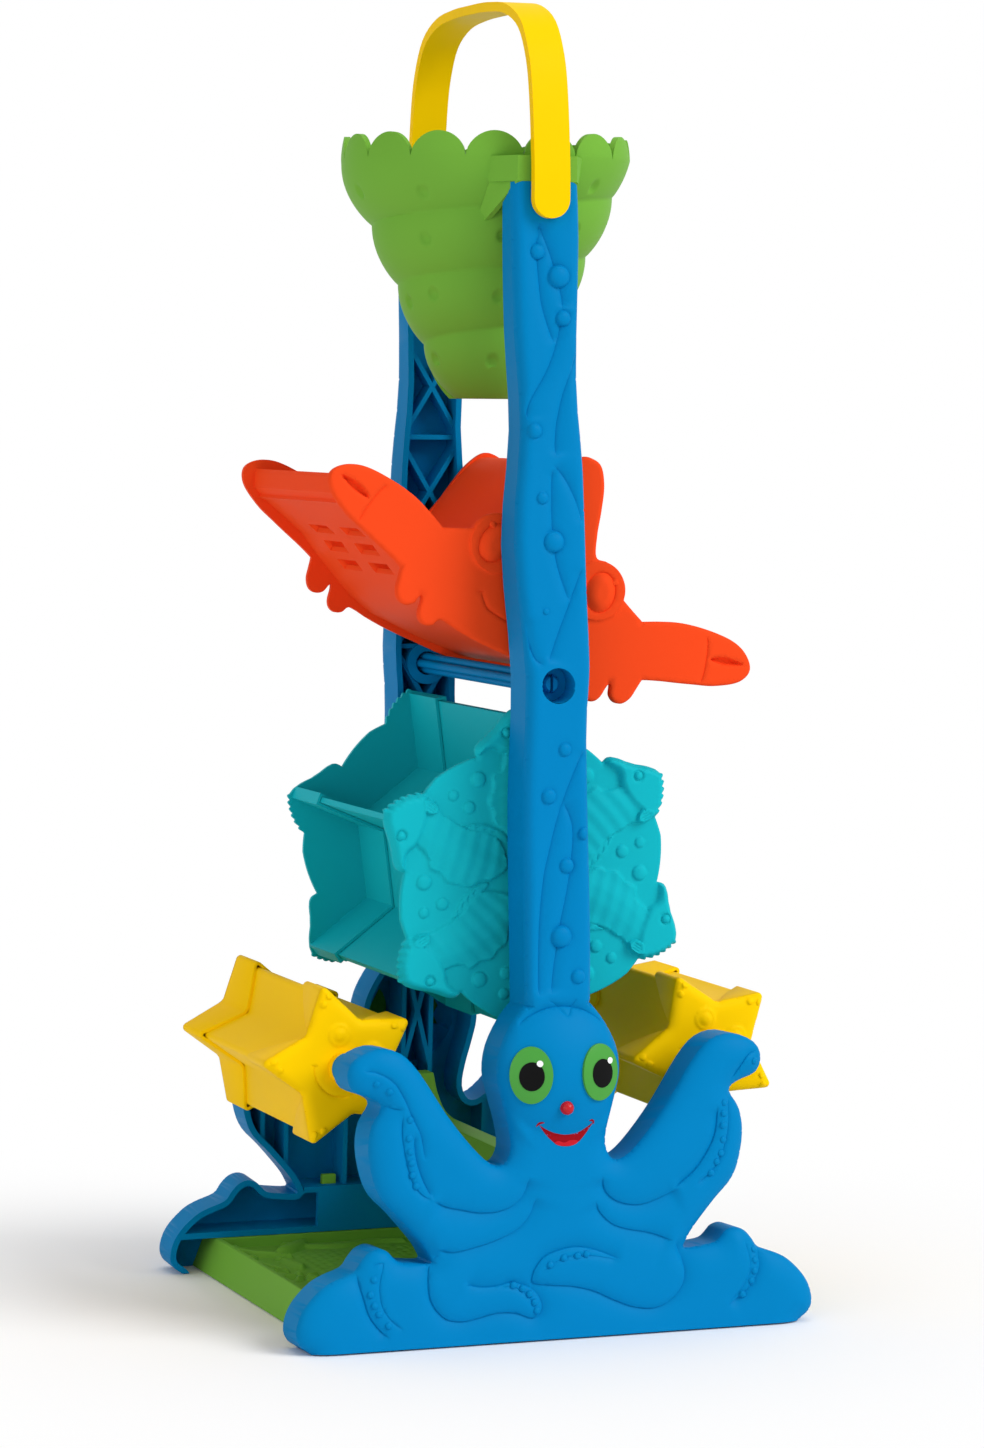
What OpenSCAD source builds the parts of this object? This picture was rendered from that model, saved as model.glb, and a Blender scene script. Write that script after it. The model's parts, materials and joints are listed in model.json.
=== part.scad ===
// Sand tower: a shell-shaped funnel, a tipping crab tray, a paddle wheel and two star wheels
// between two sea-creature frames, over a base tray.
// +X is the width, -Y the front, +Z up. The origin is on the floor under the middle of the tower.

/* [Frames] */
// Height of the column tops
column_top = 473; // [455:1:495]
// Width of the column
column_w = 28.4; // [26:0.2:31]
// How far each frame leans in towards the top, in degrees
lean = 2.67; // [2.2:0.01:3]
// Distance from the middle to a frame's inner rim, at the floor
rim_reach = 79.7; // [78:0.1:82]
// Depth of the foot, the body and the lower column
body_depth = 21.8; // [20:0.1:24]
// Depth of the column at its top
top_depth = 13.6; // [12.5:0.1:15]
// How far the column's top slopes down towards the inside
top_slope = 7; // [5:0.5:8]
// Thickness of a frame's side walls
wall = 2.6; // [2:0.1:3.2]
// Thickness of a frame's outer skin
skin = 2.6; // [2:0.1:3.2]
// Thickness of the stiffening ribs
rib_t = 2; // [1.4:0.1:2.6]
// Distance between the cross ribs in the column
rib_pitch = 46; // [38:1:56]
// Length of the foot bar
foot_w = 228; // [222:1:240]
// Height of the foot bar beside the body
foot_h = 33; // [31:0.5:35]
// Height of the tentacle bump on the foot
bump_h = 40.2; // [38:0.2:43]
// Distance of that bump from the middle
bump_x = 79; // [77:0.5:81]
// Reach of the lower tentacle lobe from the middle
lobe_x = 82.5; // [80:0.5:85]
// Height of the lobe's widest place
lobe_z = 80; // [78:0.5:82]
// Width of the head
head_w = 54; // [51:0.5:57]
// Height of the middle of the head
head_z = 108.7; // [107:0.1:111]
// How far the head bulges out of the body
head_bulge = 7; // [5:0.2:9]
// Width of the neck
neck_w = 41.6; // [39:0.2:44]
// Height of the neck
neck_z = 78; // [76:0.5:80]

/* [Face] */
// Distance of an eye from the middle
eye_x = 15.2; // [14:0.1:16]
// Width of an eye
eye_w = 18; // [15:0.5:20]
// Height of an eye
eye_h = 23.5; // [20:0.5:26]
// How far an eye stands out of the head
eye_proud = 1.1; // [0.6:0.1:1.6]
// Depth of an eye's flat seat under the head's surface
eye_seat = 1.6; // [1.2:0.1:2]
// Height of the nose
nose_z = 94.9; // [93:0.1:97]
// Radius of the nose
nose_r = 2.8; // [2.2:0.1:3.4]

/* [Base tray] */
// Length of the tray along X, at the floor
tray_w = 197.2; // [190:0.2:202]
// Distance from the middle to the tray's long edge
tray_reach = 97.5; // [95:0.1:98]
// Height of the tray's ends
tray_h = 15; // [13:0.5:17]
// How far the tray's ends slope in
tray_draft = 5.6; // [3:0.2:7]
// Height of the tray's floor
tray_floor = 10.5; // [9:0.5:12]
// Thickness of the tray's mouldings
tray_t = 2.4; // [1.8:0.1:3]
// Width of the shelf along the tray's long edges, under the frames
tray_shelf = 20; // [17:0.5:22]
// Width of the middle ridge
ridge_w = 10; // [8:0.5:12]
// Height of the ridge
ridge_h = 69; // [64:1:72]
// Height of the tongues at the ridge's ends
tongue_h = 85.5; // [82:0.5:88]
// Distance from the middle to a tongue's inner face
tongue_y = 69.6; // [68:0.2:71]
// Thickness of a tongue
tongue_t = 9; // [7:0.5:11]
// Distance of the snap tabs from the middle
tab_x = 39.4; // [36:0.2:42]
// Width of a snap tab
tab_w = 6.6; // [5:0.2:8]
// Height of the snap tabs
tab_h = 40; // [37:0.5:42]

/* [Crossbar] */
// Height of the crossbar
bar_z = 268; // [266:0.5:269]
// Radius of the crossbar over its lobes
bar_r = 4.5; // [4:0.1:4.6]
// Radius of a lobe
bar_lobe = 1.8; // [1.5:0.1:2]
// Radius of the snap neck
bar_neck_r = 3.3; // [2.8:0.1:3.6]
// Radius of the recess in the column's face
recess_r = 7.3; // [6.5:0.1:7.6]
// Depth of that recess
recess_depth = 11; // [9:0.5:12]

/* [Funnel] */
// Radius of the funnel's rim
funnel_r = 62; // [59:0.1:66]
// Height of the valleys between the scallops
rim_z = 484; // [484:0.5:489]
// Height of a scallop above its valleys
scallop_h = 10.3; // [7:0.1:11]
// Number of scallops
scallops = 16; // [12:1:20]
// Angle of the first valley, in degrees
scallop_turn = 16.6; // [0:0.1:22.5]
// Height of the funnel's bottom
funnel_z = 384.4; // [380:0.2:388]
// Thickness of the funnel
funnel_t = 2.4; // [2:0.1:3]
// Radius of the outlet
outlet_r = 6.5; // [5:0.1:8]
// Width of a saddle
saddle_w = 26; // [23:0.5:28]
// Height of a saddle
saddle_h = 10.5; // [8:0.5:12]
// Width of a saddle where it meets the funnel
saddle_back = 48; // [40:1:56]

/* [Handle] */
// Height of the handle's pivots
pivot_z = 465.9; // [463:0.1:466]
// Height of the top of the handle
handle_top = 550; // [540:1:560]
// Width of the strap
strap_w = 15.6; // [13:0.2:18]
// Thickness of the strap
strap_t = 4; // [3.4:0.1:4.4]
// Radius of the pivot studs
stud_r = 4; // [3.4:0.1:4.4]

/* [Crab] */
// Height of the crab's pivot
crab_z = 301; // [300.5:0.1:302]
// Tilt at rest, right end down, in degrees
crab_tilt = 24; // [22:0.5:24]
// Distance from the middle to the outside of a crab plate
crab_reach = 60; // [58:0.2:60.4]
// Length of the crab over its claws
crab_w = 206; // [200:1:212]
// Height of the hump over the pivot
hump_h = 64.5; // [60:0.5:68]
// Depth of the crab's belly under the pivot
belly = 25; // [24:0.1:25.2]
// Thickness of the plates
crab_plate_t = 2.4; // [2:0.1:3]
// Thickness of the trough
trough_t = 2.2; // [1.8:0.1:2.6]
// Radius of a crab eye
crab_eye_r = 9.5; // [8:0.1:10.5]
// How far a crab eye stands out
crab_eye_proud = 2; // [1:0.1:2.4]

/* [Paddle wheel] */
// Height of the wheel's axle
wheel_z = 186.4; // [186:0.1:187]
// Distance from the middle to the outside of a disc
wheel_reach = 61.8; // [60:0.1:63]
// Radius of the discs
disc_r = 60; // [58:0.5:61]
// How far the edge of a disc dips behind each snout
snout_dip = 3.8; // [2.5:0.1:5]
// Radius over the paddles
paddle_r = 68.5; // [66:0.5:69]
// Radius of the hexagonal hub, over its corners
hub_r = 37; // [33:0.5:40]
// Angle of the first paddle, in degrees
paddle_angle = 157.5; // [150:0.5:165]
// Thickness of the wheel's walls
wheel_t = 2.4; // [2:0.1:2.8]
// Distance from the middle to the seam between the halves
seam_y = 33; // [28:0.5:38]

/* [Star wheels] */
// Distance of a star's axle from the middle
star_x = 81.7; // [80.5:0.1:83]
// Height of a star's axle
star_z = 110.3; // [109:0.1:112]
// Distance from the middle to the outside of a star's end plate
star_reach = 59.4; // [58:0.1:61]
// Radius over a star's points
star_r = 33.4; // [31:0.1:34]
// Radius of a star's notches
notch_r = 20.5; // [18:0.1:22]
// Angle of the left star's first point, in degrees
left_angle = 32; // [0:1:72]
// Angle of the right star's first point, in degrees
right_angle = 42; // [0:1:72]
// Thickness of a star's walls
star_t = 2.2; // [1.8:0.1:2.6]

/* [Axles] */
// Radius of the stub axles
axle_r = 3; // [2.6:0.1:3.4]
// Radius of the bosses that carry them
boss_r = 6.5; // [6:0.1:7]
// Running clearance of an axle or stud, on the radius
run = 0.08; // [0.05:0.01:0.1]
// Gap between a hub's face and its boss
face_gap = 0.4; // [0.3:0.05:0.6]
// Length of an axle in its boss
axle_grip = 14; // [11:0.5:15]
// Gap between fixed pieces
fit = 0.2; // [0.1:0.05:0.3]
// Overlap of the two halves of a wheel at their seam
seam_lap = 7; // [5:0.5:9]
// How far a lip stands out at a seam
lip = 1.4; // [1:0.1:1.8]

/* [Hidden] */
$fn = 48;
far = 400;
blue = "#0b8fd8";
green = "#6fb23c";
yellow = "#ffd900";
orange = "#ff4a1a";
teal = "#20bcc6";
red = "#c8202c";

// Inner rim and outer face of a frame at a height, as distances from the middle
function rim_y(z) = rim_reach - tan(lean) * z;
function depth_at(z) = z < bar_z ? body_depth
    : body_depth - (body_depth - top_depth) * (z - bar_z) / (column_top - bar_z);
function out_y(z) = rim_y(z) + depth_at(z);

// Smooth curve through a list of points, with a number of steps between neighbours
function curve(p, steps) = concat([for (i = [0 : len(p) - 2], s = [0 : steps - 1])
    curve_point(p[max(i - 1, 0)], p[i], p[i + 1], p[min(i + 2, len(p) - 1)], s / steps)], [p[len(p) - 1]]);
function curve_point(a, b, c, d, t) = 0.5 * (2 * b + (c - a) * t + (2 * a - 5 * b + 4 * c - d) * t * t
    + (3 * b - a - 3 * c + d) * t * t * t);
function loop_curve(p, steps) = [for (i = [0 : len(p) - 1], s = [0 : steps - 1])
    curve_point(p[(i + len(p) - 1) % len(p)], p[i], p[(i + 1) % len(p)], p[(i + 2) % len(p)], s / steps)];
function both(p) = concat(p, [for (i = [len(p) - 1 : -1 : 0]) if (abs(p[i][0]) > 0.001) [-p[i][0], p[i][1]]]);
function tail(p) = [for (i = [1 : len(p) - 1]) p[i]];
function flip(p) = [for (i = [len(p) - 1 : -1 : 0]) [-p[i][0], p[i][1]]];
function turn(p, a) = [for (q = p) [q[0] * cos(a) - q[1] * sin(a), q[0] * sin(a) + q[1] * cos(a)]];

// A round bar along Y from y0 to y1
module rod(x, z, r, y0, y1) {
    translate([x, y0, z]) rotate([-90, 0, 0]) cylinder(r = r, h = y1 - y0);
}
// A flat shape in X and Z, extruded along Y from y0 to y1
module slab(y0, y1) {
    translate([0, y1, 0]) rotate([90, 0, 0]) linear_extrude(y1 - y0) children();
}
// A flat shape in Y and Z, extruded along X over a width about x
module panel(x, w) {
    translate([x - w / 2, 0, 0]) rotate([90, 0, 90]) linear_extrude(w) children();
}

// Frames. A frame is drawn flat in X and height, with its depth outwards, and then leaned.
hw = head_w / 2;
nw = neck_w / 2;
fw = foot_w / 2;
cw = column_w / 2;
under = 8;
neck_join = head_z + 28;
head_r = (pow(hw - 1, 2) + pow(head_bulge, 2)) / (2 * head_bulge);
head_depth = body_depth + head_bulge - head_r;
eye_turn = asin(eye_x / head_r);
nose_turn = asin((head_z - nose_z) / head_r);
// Waves of the column's two edges: place along the column from 0 to 1, and how far out
right_waves = [[0.1, 0.3], [0.32, -0.7], [0.41, 1.1], [0.5, 0.5], [0.65, 0], [0.76, -2], [0.93, 0.4]];
left_waves = [[0.1, 0.2], [0.25, 0.3], [0.4, -1.6], [0.56, 2.3], [0.7, -1.5], [0.82, 0.2], [0.93, 0.6]];

function edge(waves) = [for (w = waves) [cw + w[1], neck_join + w[0] * (column_top - neck_join)]];
creature = [[fw - 11, -under], [fw - 6.2, -0.4], [fw - 2.2, 2.6], [fw - 0.2, 7], [fw - 1.2, 13.2], [fw - 4.6, 19.2],
    [fw - 11, 25.4], [bump_x + 18, bump_h - 11.6], [bump_x + 10.4, bump_h - 8.8], [bump_x + 7.4, bump_h - 5],
    [bump_x + 4.2, bump_h - 1.6], [bump_x, bump_h], [bump_x - 4, bump_h - 1], [bump_x - 6.6, bump_h - 3.6],
    [bump_x - 9.4, foot_h + 1.4], [bump_x - 15, foot_h + 0.5], [bump_x - 23, foot_h], [lobe_x - 26, lobe_z - 44], [lobe_x - 22.5, lobe_z - 38.5], [lobe_x - 13, lobe_z - 27.5],
    [lobe_x - 5.7, lobe_z - 20], [lobe_x - 2, lobe_z - 12], [lobe_x, lobe_z], [lobe_x - 1.5, lobe_z + 10],
    [star_x - 5, star_z - 13], [star_x - 2, star_z - 9.4], [star_x + 6.8, star_z - 5.8], [star_x + 9.4, star_z + 0.7],
    [star_x + 6.3, star_z + 7], [star_x - 3.7, star_z + 11], [star_x - 13.5, star_z + 8.7],
    [star_x - 21.7, star_z + 0.4], [star_x - 33, star_z - 16.8], [nw + 17.2, neck_z + 2], [nw + 9, neck_z - 5.6],
    [nw + 3.2, neck_z - 6.3], [nw, neck_z], [nw + 1.2, neck_z + 9.5], [hw - 2, head_z - 10], [hw, head_z],
    [hw - 1.6, head_z + 10.5], [hw - 7, head_z + 21], [cw, neck_join]];
half_creature = curve(creature, 3);
right_column = curve(concat([[cw, neck_join]], edge(right_waves), [[cw, column_top + under]]), 3);
left_column = curve(concat([[cw, neck_join]], edge(left_waves), [[cw, column_top + under]]), 3);
frame_points = concat(half_creature, tail(right_column), flip(tail(left_column)), flip(half_creature));

module lean_front() {
    translate([0, -rim_reach, 0]) rotate([-lean, 0, 0]) rotate([90, 0, 0]) children();
}
// What lies between the rim and the outer face, less a skin, seen from the side
module side_profile(less) {
    panel(0, far) polygon([[-under, -2 * under], [body_depth - less, -2 * under], [body_depth - less, bar_z],
        [top_depth - less, column_top], [-under, column_top - top_slope * (1 + under / top_depth)]]);
}
module head_ball(less) {
    translate([0, head_z, head_depth]) rotate([90, 0, 0]) sphere(r = head_r - less, $fn = 96);
}
// The flat drawing has its height along Y and its depth along Z: the side profile is turned to match
module as_drawn() {
    rotate([-90, 0, 0]) mirror([0, 1, 0]) children();
}
head_lap = 0.3;
module frame_body() {
    intersection() {
        linear_extrude(body_depth + 1) polygon(frame_points);
        as_drawn() side_profile(0);
    }
    intersection() {
        head_ball(0);
        translate([-far / 2, 0, body_depth - head_lap]) cube([far, far, far]);
    }
}
module hollow_shape() {
    offset(delta = -wall) polygon(frame_points);
    translate([wall - cw, column_top - 2 * under]) square([column_w - 2 * wall, 4 * under]);
}
module frame_hollow() {
    intersection() {
        translate([0, 0, -1]) linear_extrude(body_depth + 2) hollow_shape();
        as_drawn() side_profile(skin);
    }
    intersection() {
        head_ball(skin + eye_seat);
        translate([-far / 2, 0, body_depth - 2 * skin]) cube([far, far, far]);
    }
}
// Ribs: two uprights that carry the column down, cross ribs and diagonals between them, and body ribs
channel = ridge_w + 2 * fit;
upright_x = channel / 2 + fit + rib_t / 2;
brace_a = neck_join;
braces = floor((column_top - 25 - brace_a) / rib_pitch);
module bar_between(a, b, t) {
    d = b - a;
    translate(a) rotate(atan2(d[1], d[0])) translate([0, -t / 2]) square([norm(d), t]);
}
module rib_lines() {
    for (s = [-1, 1]) {
        translate([s * upright_x - rib_t / 2, foot_h]) square([rib_t, brace_a - foot_h]);
        for (x = [tab_x - tab_w, lobe_x - 22, lobe_x - 11]) translate([s * x - rib_t / 2, foot_h]) square([rib_t, star_z]);
    }
    for (i = [0 : braces - 1]) {
        z = brace_a + i * rib_pitch;
        translate([-cw, z]) square([column_w, rib_t]);
        bar_between([-cw, z], [cw, z + rib_pitch], rib_t);
        bar_between([cw, z], [-cw, z + rib_pitch], rib_t);
    }
    bar_between([-upright_x, tongue_h + 2], [upright_x, brace_a], rib_t);
    bar_between([upright_x, tongue_h + 2], [-upright_x, brace_a], rib_t);
}
rib_set_in = 3;
module rib_room() {
    intersection() {
        translate([0, 0, -1]) linear_extrude(body_depth + 2) offset(delta = -wall / 2) polygon(frame_points);
        as_drawn() side_profile(skin / 2);
    }
}
module frame_ribs() {
    intersection() {
        rib_room();
        union() {
            translate([0, 0, rib_set_in]) linear_extrude(body_depth) rib_lines();
            // Rail over the tray and ledge over the middle, flush with the rim
            translate([-far / 2, tray_h + fit, 0]) cube([far, wall, body_depth]);
            translate([-tab_x - 2 * tab_w, foot_h, 0]) cube([2 * tab_x + 4 * tab_w, wall, body_depth]);
            translate([-tab_x - tab_w, tray_h + fit, 0]) cube([2 * tab_x + 2 * tab_w, foot_h - tray_h, wall]);
        }
    }
}
socket_r = bar_r + 0.7;
web_out = out_y(bar_z) - recess_depth;
web_t = 2.4;
hub_proud = 4;
wheel_face = wheel_reach + hub_proud;
crab_face = crab_reach + 3;
star_face = star_reach + hub_proud;
module frame_bosses() {
    rod(0, wheel_z, boss_r, -out_y(wheel_z) + skin / 2, -wheel_face - face_gap);
    rod(0, crab_z, boss_r, -out_y(crab_z) + skin / 2, -crab_face - face_gap);
    for (s = [-1, 1]) rod(s * star_x, star_z, boss_r, -out_y(star_z) + skin / 2, -star_face - face_gap);
    rod(0, bar_z, recess_r + 2, -out_y(bar_z) + skin / 2, -rim_y(bar_z) - 1);
}
module axle_bore(x, z, face) {
    rod(x, z, axle_r + run, -face - axle_grip - 1.5, -face + 5);
}
module frame_cuts() {
    axle_bore(0, wheel_z, wheel_face);
    axle_bore(0, crab_z, crab_face);
    for (s = [-1, 1]) axle_bore(s * star_x, star_z, star_face);
    rod(0, bar_z, recess_r, -far, -web_out);
    rod(0, bar_z, bar_neck_r + fit, -web_out - 1, -web_out + web_t + 1);
    rod(0, bar_z, socket_r, -web_out + web_t, 0);
    rod(0, pivot_z, stud_r + run, -far, -rim_y(pivot_z));
    // Room for the tray, its tongue and its tabs, and the floor
    translate([-tray_w / 2 - fit, -tray_reach - fit, -1]) cube([tray_w + 2 * fit, tray_reach, tray_h + fit + 1]);
    translate([-channel / 2, -tongue_y - tongue_t - fit, -1]) cube([channel, tongue_t + 2 * fit + 20, tongue_h + fit + 1]);
    for (s = [-1, 1]) translate([s * tab_x - tab_w / 2 - fit, -tab_y - tab_t - fit, -1])
        cube([tab_w + 2 * fit, tab_t + 2 * fit, tab_h + fit + 1]);
    translate([-far, -far, -far]) cube([2 * far, 2 * far, far]);
}
module eye_seats() {
    for (s = [-1, 1]) on_head(s * eye_turn, 0) translate([0, 0, head_r - eye_seat]) linear_extrude(far) eye_oval(fit);
    on_head(0, nose_turn) translate([0, 0, head_r - nose_seat]) cylinder(r = nose_r + fit, h = far);
}
module one_frame() {
    difference() {
        union() {
            lean_front() {
                difference() {
                    frame_body();
                    frame_hollow();
                    eye_seats();
                }
                frame_ribs();
            }
            frame_bosses();
        }
        frame_cuts();
    }
}
module front_frame() {
    color(blue) one_frame();
}
module rear_frame() {
    color(blue) rotate([0, 0, 180]) one_frame();
}

// Face: eyes and nose are seated in flat pockets of the head
nose_seat = 0.6;
function nose_point(a) = [nose_r * cos(a), nose_seat + 0.5 + nose_r * sin(a)];
module on_head(side, down) {
    translate([0, head_z, head_depth]) rotate([down, side, 0]) children();
}
module eye_oval(more) {
    polygon([for (i = [0 : 35]) [(eye_w / 2 + more) * cos(i * 10), (eye_h / 2 + more) * sin(i * 10)]]);
}
module one_pair_of_eyes() {
    lean_front() for (s = [-1, 1]) intersection() {
        on_head(s * eye_turn, 0) translate([0, 0, head_r - eye_seat]) linear_extrude(20) eye_oval(0);
        head_ball(-eye_proud);
    }
}
module one_nose() {
    lean_front() on_head(0, nose_turn) translate([0, 0, head_r - nose_seat]) rotate_extrude()
        polygon(concat([[0, 0], [nose_r, 0]], [for (a = [0 : 15 : 75]) nose_point(a)], [[0, nose_seat + 0.5 + nose_r]]));
}
module front_eyes() {
    color(green) one_pair_of_eyes();
}
module rear_eyes() {
    color(green) rotate([0, 0, 180]) one_pair_of_eyes();
}
module front_nose() {
    color(red) one_nose();
}
module rear_nose() {
    color(red) rotate([0, 0, 180]) one_nose();
}

// Base tray: a shallow pan, open underneath, with a hollow ridge and snap tabs
tab_y = tongue_y + tongue_t + wall + 1.4;
tab_t = 3;
module ridge_side(less) {
    half = concat([[0, ridge_h - less]], curve([[tongue_y - 26, ridge_h - less], [tongue_y - 15, ridge_h + 2 - less],
        [tongue_y - 5.5 + less / 2, tongue_h - 8 - less], [tongue_y + less, tongue_h - less]], 4),
        [[tongue_y + tongue_t - less, tongue_h - less], [tongue_y + tongue_t - less, tray_floor - 1 - less]]);
    polygon(both(half));
}
module pan_end(inset, z0, z1) {
    slope = tray_draft / tray_h;
    polygon([[-tray_w / 2 + inset + slope * z0, z0], [tray_w / 2 - inset - slope * z0, z0],
        [tray_w / 2 - inset - slope * z1, z1], [-tray_w / 2 + inset + slope * z1, z1]]);
}
module base_tray() {
    color(green) difference() {
        union() {
            difference() {
                slab(-tray_reach, tray_reach) pan_end(0, 0, tray_h);
                slab(-tray_reach + tray_t, tray_reach - tray_t) pan_end(tray_t, -0.01, tray_floor - tray_t);
                slab(-tray_reach + tray_shelf, tray_reach - tray_shelf) pan_end(tray_t, tray_floor, tray_h + 0.01);
            }
            panel(0, ridge_w) ridge_side(0);
            for (sx = [-1, 1], sy = [-1, 1]) translate([sx * tab_x - tab_w / 2, sy * (tab_y + tab_t / 2) - tab_t / 2, tray_floor - 1])
                cube([tab_w, tab_t, tab_h - tray_floor + 1]);
        }
        panel(0, ridge_w - 2 * tray_t) ridge_side(tray_t);
    }
}

// Crossbar: four lobes round a core, with a split neck and head at each end
bar_core = 1.1;
bar_end = web_out - web_t - fit;
split = 1.2;
module crossbar() {
    color(blue) difference() {
        union() {
            translate([0, 0, bar_z]) slab(-bar_end, bar_end) {
                for (a = [0 : 90 : 270]) rotate(a) translate([bar_r - bar_lobe, 0]) circle(r = bar_lobe);
                for (a = [0, 90]) rotate(a) square([2 * (bar_r - bar_lobe), 2 * bar_core], center = true);
            }
            for (s = [0, 180]) rotate([0, 0, s]) {
                rod(0, bar_z, bar_neck_r, -web_out - 2.5, -bar_end + 1);
                translate([0, -web_out - 0.3, bar_z]) rotate([90, 0, 0]) cylinder(r1 = bar_neck_r + 0.8, r2 = bar_neck_r - 0.6, h = 3);
            }
        }
        for (s = [0, 180]) rotate([0, 0, s]) translate([-split / 2, -web_out - 5, bar_z - 2 * bar_r]) cube([split, 8, 4 * bar_r]);
    }
}

// Funnel: four bowl-shaped tiers, scalloped at the rim, with a saddle on each column
tiers = [[funnel_r, rim_z - 7], [50, 463.5], [38.5, 438.5], [26.9, 413], [outlet_r + 4, funnel_z]];
function tier_points(inset) = [for (i = [0 : len(tiers) - 2], s = [0 : 5])
    let (t = s / 6, a = tiers[i], b = tiers[i + 1])
    [b[0] + (a[0] - b[0]) * pow(1 - t * t, 0.9) - inset, a[1] + (b[1] - a[1]) * t]];
funnel_top = rim_z + scallop_h;
module funnel_shell() {
    outer = concat([[funnel_r, funnel_top]], tier_points(0), [[outlet_r + 4, funnel_z]]);
    inner = concat([[funnel_r - funnel_t, funnel_top + 1]], tier_points(funnel_t), [[outlet_r, funnel_z + funnel_t], [outlet_r, funnel_z - 1]]);
    difference() {
        rotate_extrude() polygon(concat(outer, [[0, funnel_z], [0, funnel_top]]));
        rotate_extrude() polygon(concat(inner, [[0, funnel_z - 1], [0, funnel_top + 1]]));
    }
}
module funnel_solid() {
    rotate_extrude() polygon(concat([[funnel_r - 0.5, rim_z - 7]], tier_points(funnel_t / 2), [[0, funnel_z + 1], [0, rim_z - 7]]));
}
module funnel_cavity() {
    rotate_extrude() polygon(concat([[funnel_r - funnel_t, funnel_top + 1]], tier_points(funnel_t),
        [[outlet_r, funnel_z + funnel_t], [0, funnel_z + funnel_t], [0, funnel_top + 1]]));
}
scallop_w = 2 * PI * funnel_r / scallops;
module scallop_gap() {
    half = [for (s = [0 : 6]) [scallop_w / 2 * s / 6, rim_z + scallop_h * sqrt(1 - pow(1 - s / 6, 2))]];
    polygon(both(concat(half, [[scallop_w / 2, funnel_top + 5]])));
}
saddle_z = column_top + fit;
saddle_y = out_y(column_top);
tongue_in = saddle_y - skin - 2;
plug_t = 3.2;
plug_drop = 21;
saddle_end = 40;
saddle_drop = 18;
// Room beside the column for the waves of its edges
column_room = 0.9;
// A saddle seen from above: as wide as the column at the front, wider at the funnel
module saddle_plan(less) {
    polygon([[less - saddle_w / 2, -saddle_y - less], [saddle_w / 2 - less, -saddle_y - less],
        [saddle_back / 2 - less, less - saddle_end], [less - saddle_back / 2, less - saddle_end]]);
}
module saddle() {
    difference() {
        union() {
            translate([0, 0, saddle_z]) linear_extrude(saddle_h) saddle_plan(0);
            translate([-cw + wall + 1.5, -tongue_in, saddle_z - plug_drop]) cube([column_w - 2 * wall - 3, plug_t, plug_drop + 2]);
            intersection() {
                translate([0, 0, saddle_z - saddle_drop]) linear_extrude(saddle_drop + 2) difference() {
                    saddle_plan(0);
                    saddle_plan(funnel_t);
                    translate([-cw - column_room, -saddle_y - 1]) square([column_w + 2 * column_room, saddle_y + 2 - rim_y(column_top)]);
                }
                panel(0, far) polygon([[-saddle_y + 9, saddle_z + 2], [-saddle_y + 9, saddle_z - saddle_drop * 0.3],
                    [-saddle_end - 3, saddle_z - saddle_drop], [-saddle_end, saddle_z - saddle_drop], [-saddle_end, saddle_z + 2]]);
            }
        }
        funnel_cavity();
        rod(0, pivot_z, stud_r + run, -far, -45);
    }
}
module funnel() {
    color(green) union() {
        difference() {
            funnel_shell();
            for (i = [0 : scallops - 1]) rotate([0, 0, scallop_turn + i * 360 / scallops]) panel(funnel_r, 30) scallop_gap();
        }
        saddle();
        rotate([0, 0, 180]) saddle();
    }
}

// Handle: a strap bent over the top, with round ends and studs
leg_y = out_y(pivot_z - strap_w / 2) + face_gap + strap_t;
rise = handle_top - pivot_z;
strap_half = curve([[leg_y, pivot_z], [leg_y - 0.4, pivot_z + 0.19 * rise], [leg_y - 3.4, pivot_z + 0.5 * rise],
    [leg_y - 8, pivot_z + 0.703 * rise], [leg_y - 18, pivot_z + 0.875 * rise], [leg_y - 35, handle_top - 2.8],
    [leg_y - 56, handle_top - 0.4], [0, handle_top]], 4);
stud_in = tongue_in - plug_t - 1.5;
module strap_shape() {
    difference() {
        polygon(both(strap_half));
        offset(delta = -strap_t) polygon(both(concat([[leg_y, pivot_z - 40]], strap_half)));
    }
}
module handle() {
    color(yellow) {
        panel(0, strap_w) strap_shape();
        for (s = [0, 180]) rotate([0, 0, s]) {
            rod(0, pivot_z, strap_w / 2, -leg_y, -leg_y + strap_t);
            rod(0, pivot_z, stud_r, -leg_y + strap_t / 2, -stud_in);
        }
    }
}

// Crab, drawn level about its pivot, then tilted: two plates and the trough between them
claw_x = crab_w / 2;
face_x = 35;
// A place along an arm, from the edge of the face at 0 to the tip of the claw at 1
function arm_x(t) = face_x + t * (claw_x - face_x);
module crab_outline() {
    half = curve([[0, hump_h], [5, hump_h - 1.5], [9.5, hump_h - 8.5], [12.5, hump_h - 18], [15, hump_h - 28], [18.5, 27],
        [24, 27.5], [31, 24], [face_x, 18.5], [arm_x(0.103), 16.5], [arm_x(0.235), 12.6], [arm_x(0.368), 16.5],
        [arm_x(0.588), 20.5], [claw_x - 13, 22], [claw_x - 4, 19.5], [claw_x, 12], [claw_x - 3, 6], [claw_x - 13, 1],
        [claw_x - 22, -2], [arm_x(0.471), -4.5], [arm_x(0.368), -9]], 3);
    lower = curve([[36, -21.5], [28, -belly + 1], [14, -belly], [0, -belly]], 3);
    polygon(both(concat(half, lower)));
}
leg_r = 4.8;
module crab_legs() {
    for (s = [-1, 1], p = [[arm_x(0.25), -18.8], [arm_x(0.08), -23.2]]) {
        translate([s * p[0], p[1]]) circle(r = leg_r);
        translate([s * p[0], p[1]]) rotate(s * 20) translate([-leg_r + 0.5, 0]) square([2 * leg_r - 1, 12]);
    }
}
module tilted() {
    translate([0, 0, crab_z]) rotate([0, crab_tilt, 0]) children();
}
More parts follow.
